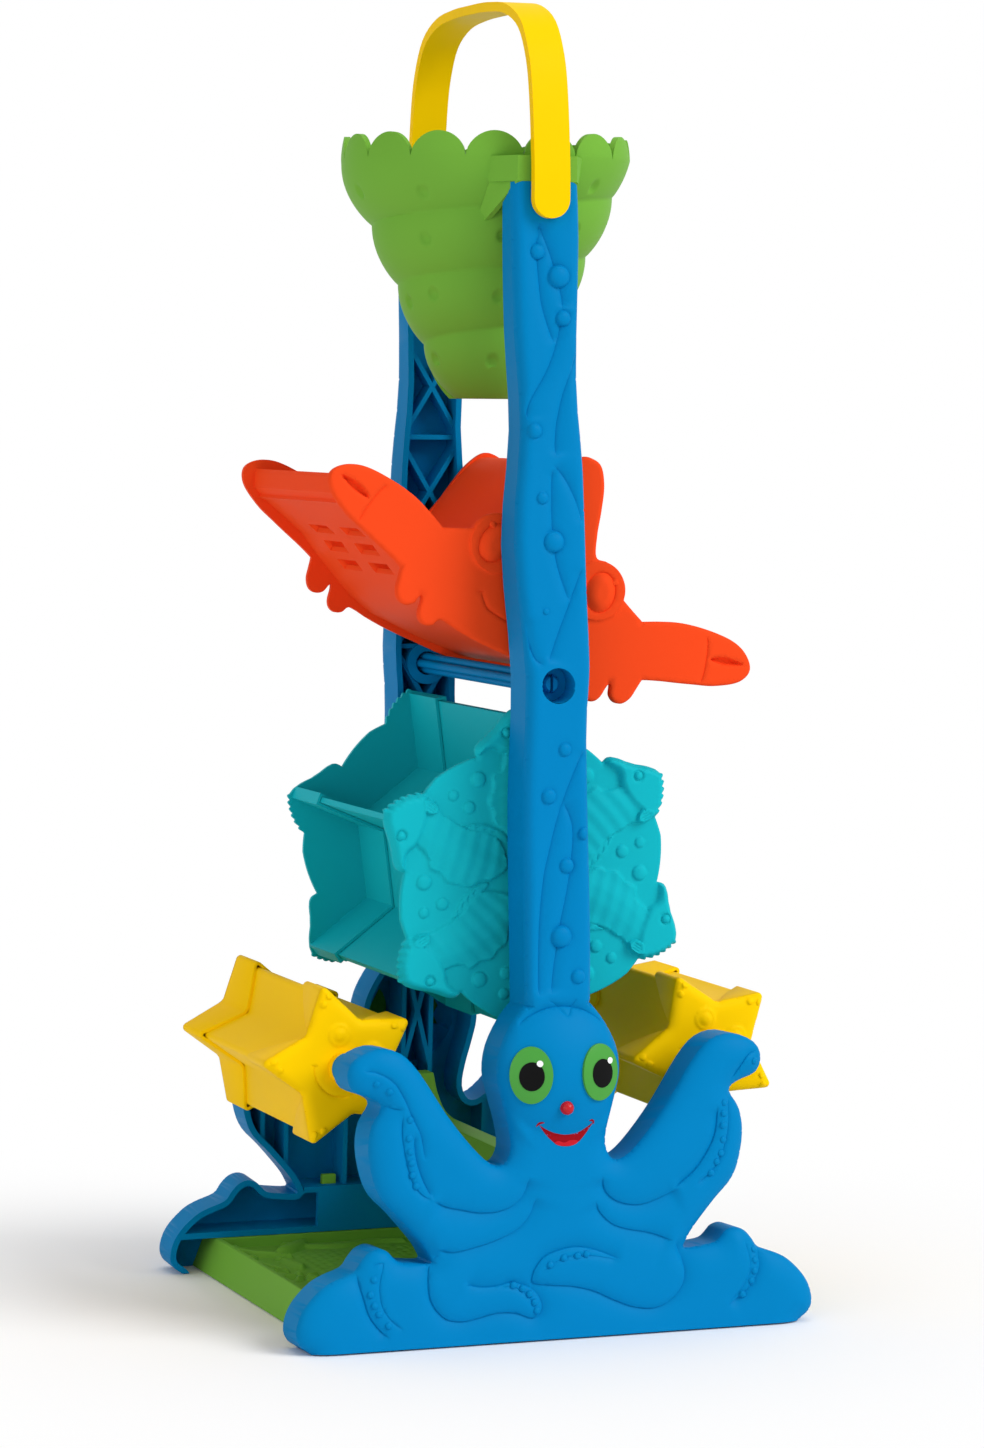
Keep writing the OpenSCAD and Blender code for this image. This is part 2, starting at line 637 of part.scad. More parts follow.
module crab_plate() {
    tilted() difference() {
        union() {
            slab(-crab_reach, -crab_reach + crab_plate_t) {
                crab_outline();
                crab_legs();
            }
            for (s = [-1, 1]) intersection() {
                rod(s * 23, 16, crab_eye_r, -crab_reach - crab_eye_proud - 5, -crab_reach + 1);
                translate([s * 23, -crab_reach - crab_eye_proud + 25, 16]) sphere(r = 25, $fn = 96);
            }
            rod(0, 0, boss_r, -crab_face, -crab_reach + 1);
            rod(0, 0, axle_r, -crab_face - axle_grip, -crab_reach + 1);
        }
        // Slot for the trough's clip tabs
        for (s = [-1, 1]) translate([s * clip_x - clip_w / 2 - fit, -far / 2, clip_z - fit]) cube([clip_w + 2 * fit, far, trough_t + 2 * fit]);
    }
}
clip_x = claw_x - 15;
clip_w = 7;
clip_z = 3.5;
trough_y = crab_reach - crab_plate_t - fit;
floor_line = [[claw_x - 5.5, 12], [claw_x - 8, 6.5], [clip_x, clip_z], [arm_x(0.485), -2.5], [arm_x(0.338), -8],
    [arm_x(0.162), -14], [face_x + 1, -belly + 6.5], [24, -belly + 3.2], [0, -belly + 2.4]];
module trough_floor() {
    line = both(floor_line);
    polygon(concat(line, [for (i = [len(line) - 1 : -1 : 0]) line[i] + [0, trough_t]]));
}
module hump(inset) {
    half = curve([[0, hump_h - 2 - inset], [5 - inset / 2, hump_h - 3.5 - inset], [9.5 - inset, hump_h - 10], [12.5 - inset, hump_h - 19],
        [15 - inset, hump_h - 28], [18.5 - inset, 22], [22 - inset, 4], [24 - inset, -belly + 4]], 3);
    polygon(both(half));
}
slot_w = 5;
slot_l = 24;
slot_x = arm_x(0.27);
slot_pitch = 9;
slot_y = 20;
module crab_trough() {
    color(orange) tilted() {
        difference() {
            union() {
                slab(-trough_y, trough_y) {
                    trough_floor();
                    difference() {
                        hump(0);
                        hump(trough_t);
                    }
                }
                for (s = [-1, 1]) translate([s * clip_x - clip_w / 2, -crab_reach, clip_z]) cube([clip_w, 2 * crab_reach, trough_t]);
            }
            for (s = [-1, 1], i = [0 : 2], j = [-1, 1])
                translate([s * (slot_x + i * slot_pitch) - slot_w / 2, j * slot_y - slot_l / 2, -belly]) cube([slot_w, slot_l, 2 * belly]);
        }
    }
}
module crab_front_plate() {
    color(orange) crab_plate();
}
module crab_rear_plate() {
    color(orange) tilted() rotate([0, -crab_tilt, 0]) translate([0, 0, -crab_z]) mirror([0, 1, 0]) crab_plate();
}

// Paddle wheel: discs with six heads, a hexagonal hub and six paddles, in two halves
disc_t = 2.6;
// The head of a sea horse, seen from the end of its paddle: crest, brow, snout, cheek and nape
head_shape = [[11.4, -1.3], [10.4, 1.4], [8, 4.8], [4.4, 8.6], [1.8, 12.2], [-0.2, 15.6], [-2, 17.7], [-4.4, 18.6],
    [-6.6, 17.6], [-8, 14], [-8.2, 4], [-8.2, -6], [-4.8, -13], [-1.2, -14.4], [1, -13], [3.6, -11.4], [6.4, -8.7],
    [9.2, -5]];
dip_start = 12;
dip_end = 39;
dip_line = [for (a = [dip_start : 3 : dip_end]) let (share = (dip_end - 1 - a) / (dip_end - 1 - 18))
    (disc_r - snout_dip * share) * [cos(a), sin(a)]];
dip_outside = 3;
module wheel_disc() {
    difference() {
        circle(r = disc_r, $fn = 96);
        for (i = [0 : 5]) rotate(paddle_angle + i * 60)
            polygon(concat(dip_line, [for (a = [dip_end, dip_start]) (disc_r + dip_outside) * [cos(a), sin(a)]]));
    }
    for (i = [0 : 5]) rotate(paddle_angle + i * 60) translate([disc_r, 0]) polygon(loop_curve(head_shape, 2));
}
module wheel_walls(more) {
    difference() {
        circle(r = hub_r + more, $fn = 6);
        circle(r = hub_r - wheel_t, $fn = 6);
    }
    for (i = [0 : 5]) rotate(i * 60) translate([hub_r - wheel_t / 2, -wheel_t / 2 - more]) square([paddle_r - hub_r + wheel_t / 2 + more, wheel_t + 2 * more]);
}
module wheel_hub(face) {
    rod(0, 0, boss_r + 2.5, -face, -face + hub_proud + 1);
    rod(0, 0, axle_r, -face - axle_grip, -face + 1);
}
module at_wheel() {
    translate([0, 0, wheel_z]) children();
}
inner_face = wheel_reach - disc_t;
module sea_wheel_front() {
    color(teal) at_wheel() {
        slab(-wheel_reach, -inner_face) wheel_disc();
        slab(-inner_face - 0.5, seam_y) rotate(paddle_angle) wheel_walls(0);
        wheel_hub(wheel_face);
    }
}
module sea_wheel_rear() {
    color(teal) at_wheel() {
        difference() {
            union() {
                slab(inner_face, wheel_reach) rotate(paddle_angle) mirror([0, 1]) rotate(-paddle_angle) wheel_disc();
                slab(seam_y - seam_lap, inner_face + 0.5) rotate(paddle_angle) wheel_walls(lip);
            }
            slab(seam_y - seam_lap - 1, seam_y + fit) rotate(paddle_angle) {
                wheel_walls(fit);
                circle(r = hub_r - wheel_t + 0.01, $fn = 6);
            }
        }
        rotate([0, 0, 180]) wheel_hub(wheel_face);
    }
}

// Star wheels: hollow star prisms in two halves
function star_points(r, n) = [for (i = [0 : 9]) let (q = i % 2 == 0 ? r : n) [q * cos(i * 36), q * sin(i * 36)]];
module star_outline(more) {
    offset(r = 2, $fn = 16) offset(delta = -2 + more) polygon(star_points(star_r + 2, notch_r));
}
module star_ring(out, inn) {
    difference() {
        star_outline(out);
        star_outline(inn);
    }
}
plate_in = star_reach - star_t;
module star_hub(face) {
    rod(0, 0, boss_r, -face, -face + hub_proud + 1);
    rod(0, 0, axle_r, -face - axle_grip, -face + 1);
}
module star_front(angle) {
    slab(-star_reach, -plate_in) rotate(angle) star_outline(0);
    slab(-plate_in - 0.5, seam_y) rotate(angle) star_ring(-lip, -lip - star_t);
    star_hub(star_face);
}
module star_rear(angle) {
    slab(plate_in, star_reach) rotate(angle) star_outline(0);
    slab(seam_y - seam_lap, plate_in + 0.5) rotate(angle) star_ring(0, fit - lip);
    rotate([0, 0, 180]) star_hub(star_face);
}
module at_star(side) {
    translate([side * star_x, 0, star_z]) children();
}
module left_star_front() {
    color(yellow) at_star(-1) star_front(left_angle);
}
module left_star_rear() {
    color(yellow) at_star(-1) star_rear(left_angle);
}
module right_star_front() {
    color(yellow) at_star(1) star_front(right_angle);
}
module right_star_rear() {
    color(yellow) at_star(1) star_rear(right_angle);
}

front_frame();
rear_frame();
base_tray();
crossbar();
funnel();
front_eyes();
rear_eyes();
front_nose();
rear_nose();
handle();
crab_trough();
crab_front_plate();
crab_rear_plate();
sea_wheel_front();
sea_wheel_rear();
left_star_front();
left_star_rear();
right_star_front();
right_star_rear();
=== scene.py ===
# %% [markdown]
# A sand tower: sand poured into a shell-shaped funnel tips a crab tray, turns a paddle wheel and two
# star wheels, and lands in the base tray. The frame below comes from the CAD model and stays where it is.
# This script dresses it: the moulded relief, the soft edges and the plastic. Lengths are written in
# millimetres and divided by 1000 on the way in.

# %% Load the frame
import json
import math

import bmesh
import bpy
import numpy as np
from mathutils import Matrix, Vector
from mathutils.geometry import delaunay_2d_cdt


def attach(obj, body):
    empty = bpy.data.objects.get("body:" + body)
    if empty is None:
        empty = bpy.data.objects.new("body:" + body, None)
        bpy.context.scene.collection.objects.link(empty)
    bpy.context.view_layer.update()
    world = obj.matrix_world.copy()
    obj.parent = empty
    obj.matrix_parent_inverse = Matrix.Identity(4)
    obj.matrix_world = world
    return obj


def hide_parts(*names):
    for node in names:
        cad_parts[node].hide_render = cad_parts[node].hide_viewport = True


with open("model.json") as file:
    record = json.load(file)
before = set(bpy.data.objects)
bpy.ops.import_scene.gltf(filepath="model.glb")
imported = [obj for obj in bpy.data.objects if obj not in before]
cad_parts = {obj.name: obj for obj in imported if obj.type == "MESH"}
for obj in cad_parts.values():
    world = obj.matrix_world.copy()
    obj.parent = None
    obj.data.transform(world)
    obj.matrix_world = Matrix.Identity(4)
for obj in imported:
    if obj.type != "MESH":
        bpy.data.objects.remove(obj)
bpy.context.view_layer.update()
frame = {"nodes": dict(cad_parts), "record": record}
nodes = frame["nodes"]
MM = 0.001

# %% [markdown]
# Every piece is coloured polyethylene or polypropylene: one colour all through, a satin gloss, and a very
# fine grain from the mould. Two close tones mixed by a slow noise keep large faces from looking painted.
# The same noise varies the gloss, and a fine bump breaks up the highlights. Constant values go on the
# sockets themselves.

# %% Plastic materials
TONE_SCALE, DARK_TONE = 22, 0.93
GRAIN_SCALE, GRAIN_STRENGTH, GRAIN_HEIGHT = 1400, 0.03, 0.0004


def srgb(code):
    """A colour written as #rrggbb, as the linear values that shaders use."""
    parts = [int(code[i:i + 2], 16) / 255 for i in (1, 3, 5)]
    return [c / 12.92 if c <= 0.04045 else ((c + 0.055) / 1.055) ** 2.4 for c in parts] + [1.0]


def add_node(tree, kind, **values):
    """A new shader node with constant values on its sockets; an underscore stands for a space."""
    node = tree.nodes.new(kind)
    for socket, value in values.items():
        node.inputs[socket.replace("_", " ")].default_value = value
    return node


def plastic(name, code, gloss=0.46, shine=0.03):
    """A moulded plastic: its colour, its roughness and the strength of its shine."""
    material = bpy.data.materials.new(name)
    material.use_nodes = True
    tree = material.node_tree
    shader = tree.nodes["Principled BSDF"]
    shader.inputs["IOR"].default_value = 1.5
    shader.inputs["Specular IOR Level"].default_value = shine
    where = add_node(tree, "ShaderNodeTexCoord")
    slow = add_node(tree, "ShaderNodeTexNoise", Scale=TONE_SCALE, Detail=3)
    fine = add_node(tree, "ShaderNodeTexNoise", Scale=GRAIN_SCALE, Detail=2)
    rough = add_node(tree, "ShaderNodeMapRange", To_Min=gloss - 0.05, To_Max=gloss + 0.07)
    bump = add_node(tree, "ShaderNodeBump", Strength=GRAIN_STRENGTH, Distance=GRAIN_HEIGHT)
    tone = add_node(tree, "ShaderNodeMix")
    tone.data_type = "RGBA"
    colour = srgb(code)
    tone.inputs[6].default_value = [c * DARK_TONE for c in colour[:3]] + [1]
    tone.inputs[7].default_value = colour
    for noise in (slow, fine):
        tree.links.new(where.outputs["Object"], noise.inputs["Vector"])
    tree.links.new(slow.outputs["Fac"], tone.inputs[0])
    tree.links.new(slow.outputs["Fac"], rough.inputs["Value"])
    tree.links.new(fine.outputs["Fac"], bump.inputs["Height"])
    tree.links.new(tone.outputs[2], shader.inputs["Base Color"])
    tree.links.new(rough.outputs["Result"], shader.inputs["Roughness"])
    tree.links.new(bump.outputs["Normal"], shader.inputs["Normal"])
    return material


looks = {
    "blue": plastic("blue plastic", "#007fbc"),
    "green": plastic("green plastic", "#74b03e"),
    "eye_green": plastic("eye green", "#469a3a", gloss=0.3, shine=0.25),
    "red": plastic("red bead", "#c01420", gloss=0.25, shine=0.25),
    "yellow": plastic("yellow plastic", "#ffcd00"),
    "orange": plastic("orange plastic", "#f44a1e", gloss=0.52, shine=0.015),
    "teal": plastic("teal plastic", "#12b4c0"),
    "pupil": plastic("black print", "#060607", gloss=0.35, shine=0.1),
    "glint": plastic("white print", "#f6f8f8", gloss=0.3),
    "mouth": plastic("dark red print", "#980f1b", gloss=0.4),
    "tongue": plastic("red print", "#c4202c", gloss=0.4),
}
print("materials:", len(looks))

# %% [markdown]
# All the relief is drawn with lines: edges of limbs, strands of seaweed, outlines. These helpers turn a few
# points into a smooth curve, and tell how far any point lies from a line and on which side of it. A curve
# through its own points is easier to draw by hand than one with control points off the curve.

# %% Lines and distances
BATCH = 3000


def curve(a, b, c, d, t):
    """A point of a smooth curve between b and c, whose further neighbours are a and d."""
    bend = (2 * a - 5 * b + 4 * c - d) * t ** 2
    return 0.5 * (2 * b + (c - a) * t + bend + (3 * b - a - 3 * c + d) * t ** 3)


def smooth_line(points, gap=1.2, loop=False):
    """A smooth curve through the points, resampled about every gap."""
    p = np.asarray(points, float)
    n = len(p)
    t = np.linspace(0, 1, 12, endpoint=False)[:, None]
    run = []
    for i in range(n) if loop else range(n - 1):
        four = (p[(i + k) % n] if loop else p[min(max(i + k, 0), n - 1)] for k in (-1, 0, 1, 2))
        run.append(curve(*four, t))
    run.append(p[:1] if loop else p[-1:])
    return resample(np.concatenate(run), gap)


def resample(line, gap):
    """Points spread evenly along a line, with its two ends kept."""
    run = np.concatenate([[0], np.cumsum(np.hypot(*np.diff(line, axis=0).T))])
    steps = max(int(round(run[-1] / gap)), 2)
    at = np.linspace(0, run[-1], steps + 1)
    return np.stack([np.interp(at, run, line[:, k]) for k in (0, 1)], 1)


def closed(loop):
    """A loop as a line that ends where it starts."""
    return np.concatenate([loop, loop[:1]])


def along(points, line):
    """Each point's distance from the line (left is plus) and place along it, and the line's length."""
    a, ab = line[:-1], np.diff(line, axis=0)
    length = np.hypot(*ab.T)
    keep = length > 1e-9
    a, ab, length = a[keep], ab[keep], length[keep]
    run = np.concatenate([[0], np.cumsum(length)])
    side, place = np.empty(len(points)), np.empty(len(points))
    for start in range(0, len(points), BATCH):
        part = points[start:start + BATCH]
        ap = part[:, None] - a[None]
        t = np.clip((ap * ab).sum(2) / length ** 2, 0, 1)
        gap = ap - t[..., None] * ab
        far = np.hypot(gap[..., 0], gap[..., 1])
        k = far.argmin(1)
        i = np.arange(len(part))
        turn = ab[k, 0] * ap[i, k, 1] - ab[k, 1] * ap[i, k, 0]
        side[start:start + BATCH] = np.where(turn >= 0, 1, -1) * far[i, k]
        place[start:start + BATCH] = run[k] + t[i, k] * length[k]
    return side, place, run[-1]


def inside(points, loop):
    """Which points lie inside a closed loop."""
    x, y = points[:, 0], points[:, 1]
    result = np.zeros(len(points), bool)
    for (x0, y0), (x1, y1) in zip(loop, np.roll(loop, -1, axis=0)):
        if y0 != y1:
            result ^= ((y0 > y) != (y1 > y)) & (x < (x1 - x0) * (y - y0) / (y1 - y0) + x0)
    return result


def within(points, line, reach):
    """Which points lie in the box round a line, grown by a reach."""
    return np.all((points > line.min(0) - reach) & (points < line.max(0) + reach), axis=1)


def left_of(step):
    """Unit vectors to the left of the given steps."""
    return np.stack([-step[:, 1], step[:, 0]], 1) / np.maximum(np.hypot(*step.T), 1e-9)[:, None]


def inward(loop):
    """For each point of a loop, the unit vector that points into the loop."""
    area = (loop[:, 0] * np.roll(loop[:, 1], -1) - loop[:, 1] * np.roll(loop[:, 0], -1)).sum()
    left = left_of(np.roll(loop, -1, 0) - np.roll(loop, 1, 0))
    return left if area > 0 else -left


def circle(x, y, r, count):
    turn = np.linspace(0, 2 * np.pi, count + 1)[:-1]
    return np.stack([x + r * np.cos(turn), y + r * np.sin(turn)], 1)


def ease(t):
    """From 0 to 1 with a soft start and end."""
    t = np.clip(t, 0, 1)
    return t * t * (3 - 2 * t)


print("a curve through three points has", len(smooth_line([(0, 0), (6, 3), (12, 0)])), "points")

# %% [markdown]
# Most of the relief lies on nearly flat faces, so each such face is a height map over its own outline. It
# holds creases, where one limb lies over another, low domes, and raised or sunken shapes. A sculpted mesh
# would look as good, but a height map can be changed by moving a few points.

# %% What a relief holds
class Relief:
    """A height map over an outline: creases, bubbles and raised shapes on a face with soft edges."""

    def __init__(self, outline, grid=1.2, soft=4.0, fall=None, softness=None):
        self.outline = np.asarray(outline, float)
        self.grid, self.soft, self.fall = grid, soft, soft if fall is None else fall
        self.softness = softness or (lambda p: soft)
        self.soft_edges = []
        self.creases, self.bumps, self.shapes, self.holes = [], [], [], []

    def crease(self, points, low, depth=1.2, width=3.0, ends=(5, 5), gap=1.2):
        """A step along a line, whose low side fades out over a width."""
        line = smooth_line(points, gap)
        if low == "right":
            line, ends = line[::-1], ends[::-1]
        self.creases.append((line, depth, width, ends))

    def bubble(self, x, y, r, height):
        self.bumps.append((x, y, r, height))

    def raised(self, points, height, edge=0.8, gap=1.0, over=False, pattern=None):
        """A raised or sunken shape in a loop; one laid over the soft edge isn't rounded off with it."""
        self.shapes.append((smooth_line(points, gap, True)[:-1], height, edge, over, pattern))

    def hole(self, x, y, r):
        self.holes.append((x, y, r))

    def clear(self, p, share):
        """Which points lie outside every bubble, grown by a share."""
        ok = np.ones(len(p), bool)
        for x, y, r, height in self.bumps:
            ok &= np.hypot(p[:, 0] - x, p[:, 1] - y) > share * r
        return ok

    def to_edge(self, p):
        return np.abs(along(p, closed(self.outline))[0])

    def to_soft_edge(self, p):
        """Distance from the rounded part of the edge: all of it, unless some of the edge is square."""
        if not self.soft_edges:
            return self.to_edge(p)
        return np.min([np.abs(along(p, line)[0]) for line in self.soft_edges], axis=0)


print("a plain relief has", len(Relief([(0, 0), (9, 0), (9, 9)]).outline), "corners")

# %% [markdown]
# The height at a point is the highest shape there, less the creases, plus the domes. A crease is a steep
# step with a slope on its low side and a round shoulder on the other. Where several creases meet, their
# depths add up only to a limit, so that the wall stays whole.

# %% The height of a relief
LINE = 0.12
DEEPEST = 4.5
SHOULDER = 0.68
MOAT, MOAT_DEPTH = 0.4, 0.16


def crease_depth(relief, p):
    """How deep the creases are at each point."""
    total = np.zeros(len(p))
    for line, depth, width, ends in relief.creases:
        near = within(p, line, 4 * width)
        d, place, length = along(p[near], line)
        fade = ease((place + 0.01) / max(ends[0], 0.02))
        fade = fade * ease((length - place + 0.01) / max(ends[1], 0.02))
        low = np.exp(-np.maximum(d - LINE, 0) / (0.55 * width)) * ease((d + LINE) / (2 * LINE))
        turn = np.clip(1 + d / (1.1 * width), 0, 1)
        high = SHOULDER * (1 - np.sqrt(1 - turn * turn)) * (d < LINE)
        total[near] += depth * fade * np.maximum(low, high)
    return DEEPEST * (1 - np.exp(-total / DEEPEST))


def shape_height(relief, p):
    """Height of the raised shapes, and where they lie over the soft edge."""
    h, top = np.zeros(len(p)), np.zeros(len(p))
    for loop, height, edge, over, pattern in relief.shapes:
        near = within(p, loop, 1)
        q = p[near]
        d = np.abs(along(q, closed(loop))[0])
        share = np.clip((np.where(inside(q, loop), d, -d) + 0.05) / edge, 0, 1)
        bulge = height * np.sin(np.pi / 2 * share) ** 0.7
        if pattern:
            bulge += ease(share) * pattern(q)
        h[near] = h[near] + bulge if height < 0 else np.maximum(h[near], bulge)
        if over:
            top[near] = np.maximum(top[near], np.clip(3 * share, 0, 1))
    return h, top


def relief_height(relief, p):
    """Height of the relief over the plain face, and the drop of the soft edge."""
    h, top = shape_height(relief, p)
    cut, dome = crease_depth(relief, p), np.zeros(len(p))
    for x, y, r, height in relief.bumps:
        d = np.hypot(p[:, 0] - x, p[:, 1] - y) / r
        on = d < 1.001
        # A bubble sinks by a part of the mean crease depth round it, and has a shallow moat
        cut[on] = 0.6 * crease_depth(relief, circle(x, y, 1.05 * r, 12)).mean()
        dome += np.where(on, height * np.sqrt(np.clip(1 - d * d, 0, 1)), 0)
        in_moat = ~on & (d < 1 + MOAT)
        dome -= np.where(in_moat, MOAT_DEPTH * height * (1 - (d - 1) / MOAT) ** 2, 0)
    h += dome - cut
    s = np.clip(1 - relief.to_soft_edge(p) / relief.softness(p), 0, 1)
    near_edge = np.clip(relief.to_edge(p) / min(2, relief.soft), 0, 1)
    return h * np.maximum(near_edge, top), relief.fall * (1 - np.sqrt(1 - s * s)) * (1 - top)


print("creases go down to", DEEPEST, "mm")

# %% [markdown]
# The outline, the edges of the relief and the rims of the bubbles go into a constrained triangulation, so
# that every crease runs along mesh edges and stays crisp, and a loose grid of points fills the rest. A
# grid alone would need to be far finer.

# %% The mesh of a relief
EDGE_SHARES = (0.06, 0.2, 0.42, 0.7, 1.05)
DOME_SHARES = (1.07, 1.0, 0.93, 0.8, 0.6, 0.32)
CLEARANCE = 0.3


def grid_points(relief):
    """Points of a triangular grid, away from the edge, the creases and the bubbles."""
    low, high = relief.outline.min(0), relief.outline.max(0)
    columns = np.arange(low[0], high[0], relief.grid)
    gx, gy = np.meshgrid(columns, np.arange(low[1], high[1], relief.grid * 0.87))
    gx[1::2] += relief.grid / 2
    field = np.stack([gx.ravel(), gy.ravel()], 1)
    field = field[inside(field, relief.outline)]
    field = field[(relief.to_edge(field) > 1.25 * relief.soft) & relief.clear(field, 1.2)]
    for line, *_ in relief.creases:
        near = within(field, line, 1)
        on_line = np.zeros(len(field), bool)
        on_line[near] = np.abs(along(field[near], line)[0]) < 0.45
        field = field[~on_line]
    return field


def edge_points(relief):
    """Rows of points along the edge, closer together towards it."""
    rim = resample(closed(relief.outline), relief.grid)[:-1]
    normal = inward(rim)
    rows = []
    for share in EDGE_SHARES:
        row = rim + normal * (relief.soft * share)
        clear = relief.to_edge(row) > relief.soft * share * 0.97
        rows.append(row[inside(row, relief.outline) & clear])
    return np.concatenate(rows)


def relief_mesh(relief):
    """Points in the plane of the face, and triangles over them."""
    points, edges = [], []

    def add(line, loop=False):
        start, count = len(points), len(line)
        points.extend(line)
        edges.extend((start + i, start + (i + 1) % count) for i in range(count if loop else count - 1))

    def free(p):
        return inside(p, relief.outline) & (relief.to_edge(p) > CLEARANCE) & relief.clear(p, 1.12)

    add(relief.outline, True)
    loose = [np.empty((0, 2))]
    for loop, height, edge, *_ in relief.shapes:
        add(loop, True)
        loose.append(loop + inward(loop) * edge)
    for middle, *_ in relief.creases:
        left = left_of(np.gradient(middle, axis=0))
        for line in (middle + LINE * left, middle - LINE * left):
            ok = free(line)
            for chunk in np.split(np.arange(len(line)), np.where(~ok)[0]):
                chunk = chunk[ok[chunk]]
                if len(chunk):
                    add(line[chunk])
    loose = np.concatenate(loose)
    points.extend(loose[free(loose)])
    for x, y, r, height in relief.bumps:
        points.append(np.array([x, y]))
        for share in DOME_SHARES:
            row = circle(x, y, share * r, min(max(int(8 * r), 12), 32))
            points.extend(row[inside(row, relief.outline)])
    for x, y, r in relief.holes:
        add(circle(x, y, r, 32), True)
    points.extend(edge_points(relief))
    points.extend(grid_points(relief))
    out = delaunay_2d_cdt([Vector(p) for p in points], edges, [], 1, 1e-5)
    flat = np.array([v[:] for v in out[0]])
    faces = np.array([f for f in out[2] if len(f) == 3])
    middle = flat[faces].mean(1)
    for x, y, r in relief.holes:
        keep = np.hypot(middle[:, 0] - x, middle[:, 1] - y) > r * 0.98
        faces, middle = faces[keep], middle[keep]
    return flat, faces


print("rows of points along an edge:", len(EDGE_SHARES), "over a bubble:", len(DOME_SHARES))

# %% [markdown]
# Every piece becomes a mesh object, shaded smooth except over its sharp edges. A piece that takes the place
# of CAD nodes hides them and rides on their body, so that it moves with the joint. CAD meshes
# come with split points, which are joined in a copy before any work on them.

# %% Objects
body_of = {}
for body_name, members in frame["record"]["behaviour"]["bodies"].items():
    body_of.update({node: body_name for node in members})


def make_object(name, points, faces, look, sharp=38, outward=False):
    """A mesh object from points in millimetres."""
    mesh = bpy.data.meshes.new(name)
    places = [tuple(p) for p in np.asarray(points, float) * MM]
    mesh.from_pydata(places, [], [tuple(int(i) for i in f) for f in faces])
    mesh.update()
    return finish_mesh(name, mesh, look, sharp, outward)


def finish_mesh(name, mesh, look, sharp=38, outward=False):
    """Merges touching points, turns the faces outwards if asked, and shades the mesh, as a new object."""
    shape = bmesh.new()
    shape.from_mesh(mesh)
    bmesh.ops.remove_doubles(shape, verts=shape.verts, dist=0.00002)
    bmesh.ops.dissolve_degenerate(shape, edges=shape.edges, dist=0.000001)
    loose = [v for v in shape.verts if not v.link_faces]
    bmesh.ops.delete(shape, geom=loose, context="VERTS")
    if outward:
        bmesh.ops.recalc_face_normals(shape, faces=shape.faces)
    shape.to_mesh(mesh)
    shape.free()
    mesh.materials.clear()
    mesh.materials.append(looks[look])
    mesh.shade_smooth()
    mesh.set_sharp_from_angle(angle=math.radians(sharp))
    piece = bpy.data.objects.new(name, mesh)
    bpy.context.collection.objects.link(piece)
    return piece


def cad_mesh(node):
    """A copy of a CAD node's mesh, with its split points joined."""
    mesh = nodes[node].data.copy()
    for layer in list(mesh.attributes):
        if layer.name == "custom_normal":
            mesh.attributes.remove(layer)
    shape = bmesh.new()
    shape.from_mesh(mesh)
    bmesh.ops.remove_doubles(shape, verts=shape.verts, dist=0.00001)
    shape.to_mesh(mesh)
    shape.free()
    return mesh


def stand_in(piece, slot, *members):
    """Lets a new piece stand for CAD nodes and ride on their body."""
    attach(piece, body_of[members[0]])
    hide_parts(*members)
    return piece


print("bodies:", sorted(set(body_of.values())))

# %% [markdown]
# Each frame is one blue moulding. Its outside is a sea creature with raised arms and a column of seaweed
# above its head, all in low relief; its inside is hollow with ribs. The outline is drawn flat, across and
# up, for the right half of the creature, and mirrored; the two edges of the column wave differently.

# %% The outline of a frame
LEAN = math.radians(2.67)
RIM, DEPTH, TOP_DEPTH, BEND, TOP = 79.7, 21.8, 13.6, 268.0, 473.0
EDGE, SKIN = 5.0, 2.6
COLUMN_HALF, NECK = 14.2, 136.7


def from_frame(x, h, d):
    """Places a point of the flat drawing (across, up, out) on the leaning front frame."""
    c, s = math.cos(LEAN), math.sin(LEAN)
    return np.stack([x, -RIM - d * c + h * s, h * c + d * s], -1)


def to_frame(p):
    """The flat drawing's coordinates of points on the front frame."""
    c, s = math.cos(LEAN), math.sin(LEAN)
    y, z = p[:, 1] + RIM, p[:, 2]
    return np.stack([p[:, 0], z * c + y * s, z * s - y * c], 1)


def face_depth(h):
    """The plain depth of the frame: even up to the crossbar, then thinner towards the top."""
    return np.where(h < BEND, DEPTH, DEPTH - (DEPTH - TOP_DEPTH) * (h - BEND) / (TOP - BEND))


half_creature = [
    (103, -8), (107.8, -0.4), (111.8, 2.6), (113.8, 7), (112.8, 13.2), (109.4, 19.2), (103, 25.4),
    (97, 28.6), (89.4, 31.4), (86.4, 35.2), (83.2, 38.6), (79, 40.2), (75, 39.2), (72.4, 36.6),
    (69.6, 34.4), (64, 33.5), (56, 33), (56.5, 36), (60, 41.5), (69.5, 52.5), (76.8, 60), (80.5, 68),
    (82.5, 80), (81, 90), (76.7, 97.3), (79.7, 100.9), (88.5, 104.5), (91.1, 111), (88, 117.3),
    (78, 121.3), (68.2, 119), (60, 110.7), (48.7, 93.5), (38, 80), (29.8, 72.4), (24, 71.7), (20.8, 78),
    (22, 87.5), (25, 98.7), (27, 108.7), (25.4, 119.2), (20, 129.7), (COLUMN_HALF, NECK)]
right_waves = [(0.1, 0.3), (0.32, -0.7), (0.41, 1.1), (0.5, 0.5), (0.65, 0), (0.76, -2), (0.93, 0.4)]
left_waves = [(0.1, 0.2), (0.25, 0.3), (0.4, -1.6), (0.56, 2.3), (0.7, -1.5), (0.82, 0.2), (0.93, 0.6)]


def three_steps(points):
    """The CAD model's own curve: three straight steps between neighbours."""
    p = np.asarray(points, float)
    out = []
    for i in range(len(p) - 1):
        four = p[max(i - 1, 0)], p[i], p[i + 1], p[min(i + 2, len(p) - 1)]
        out += [curve(*four, t) for t in (0, 1 / 3, 2 / 3)]
    return np.array(out + [p[-1]])


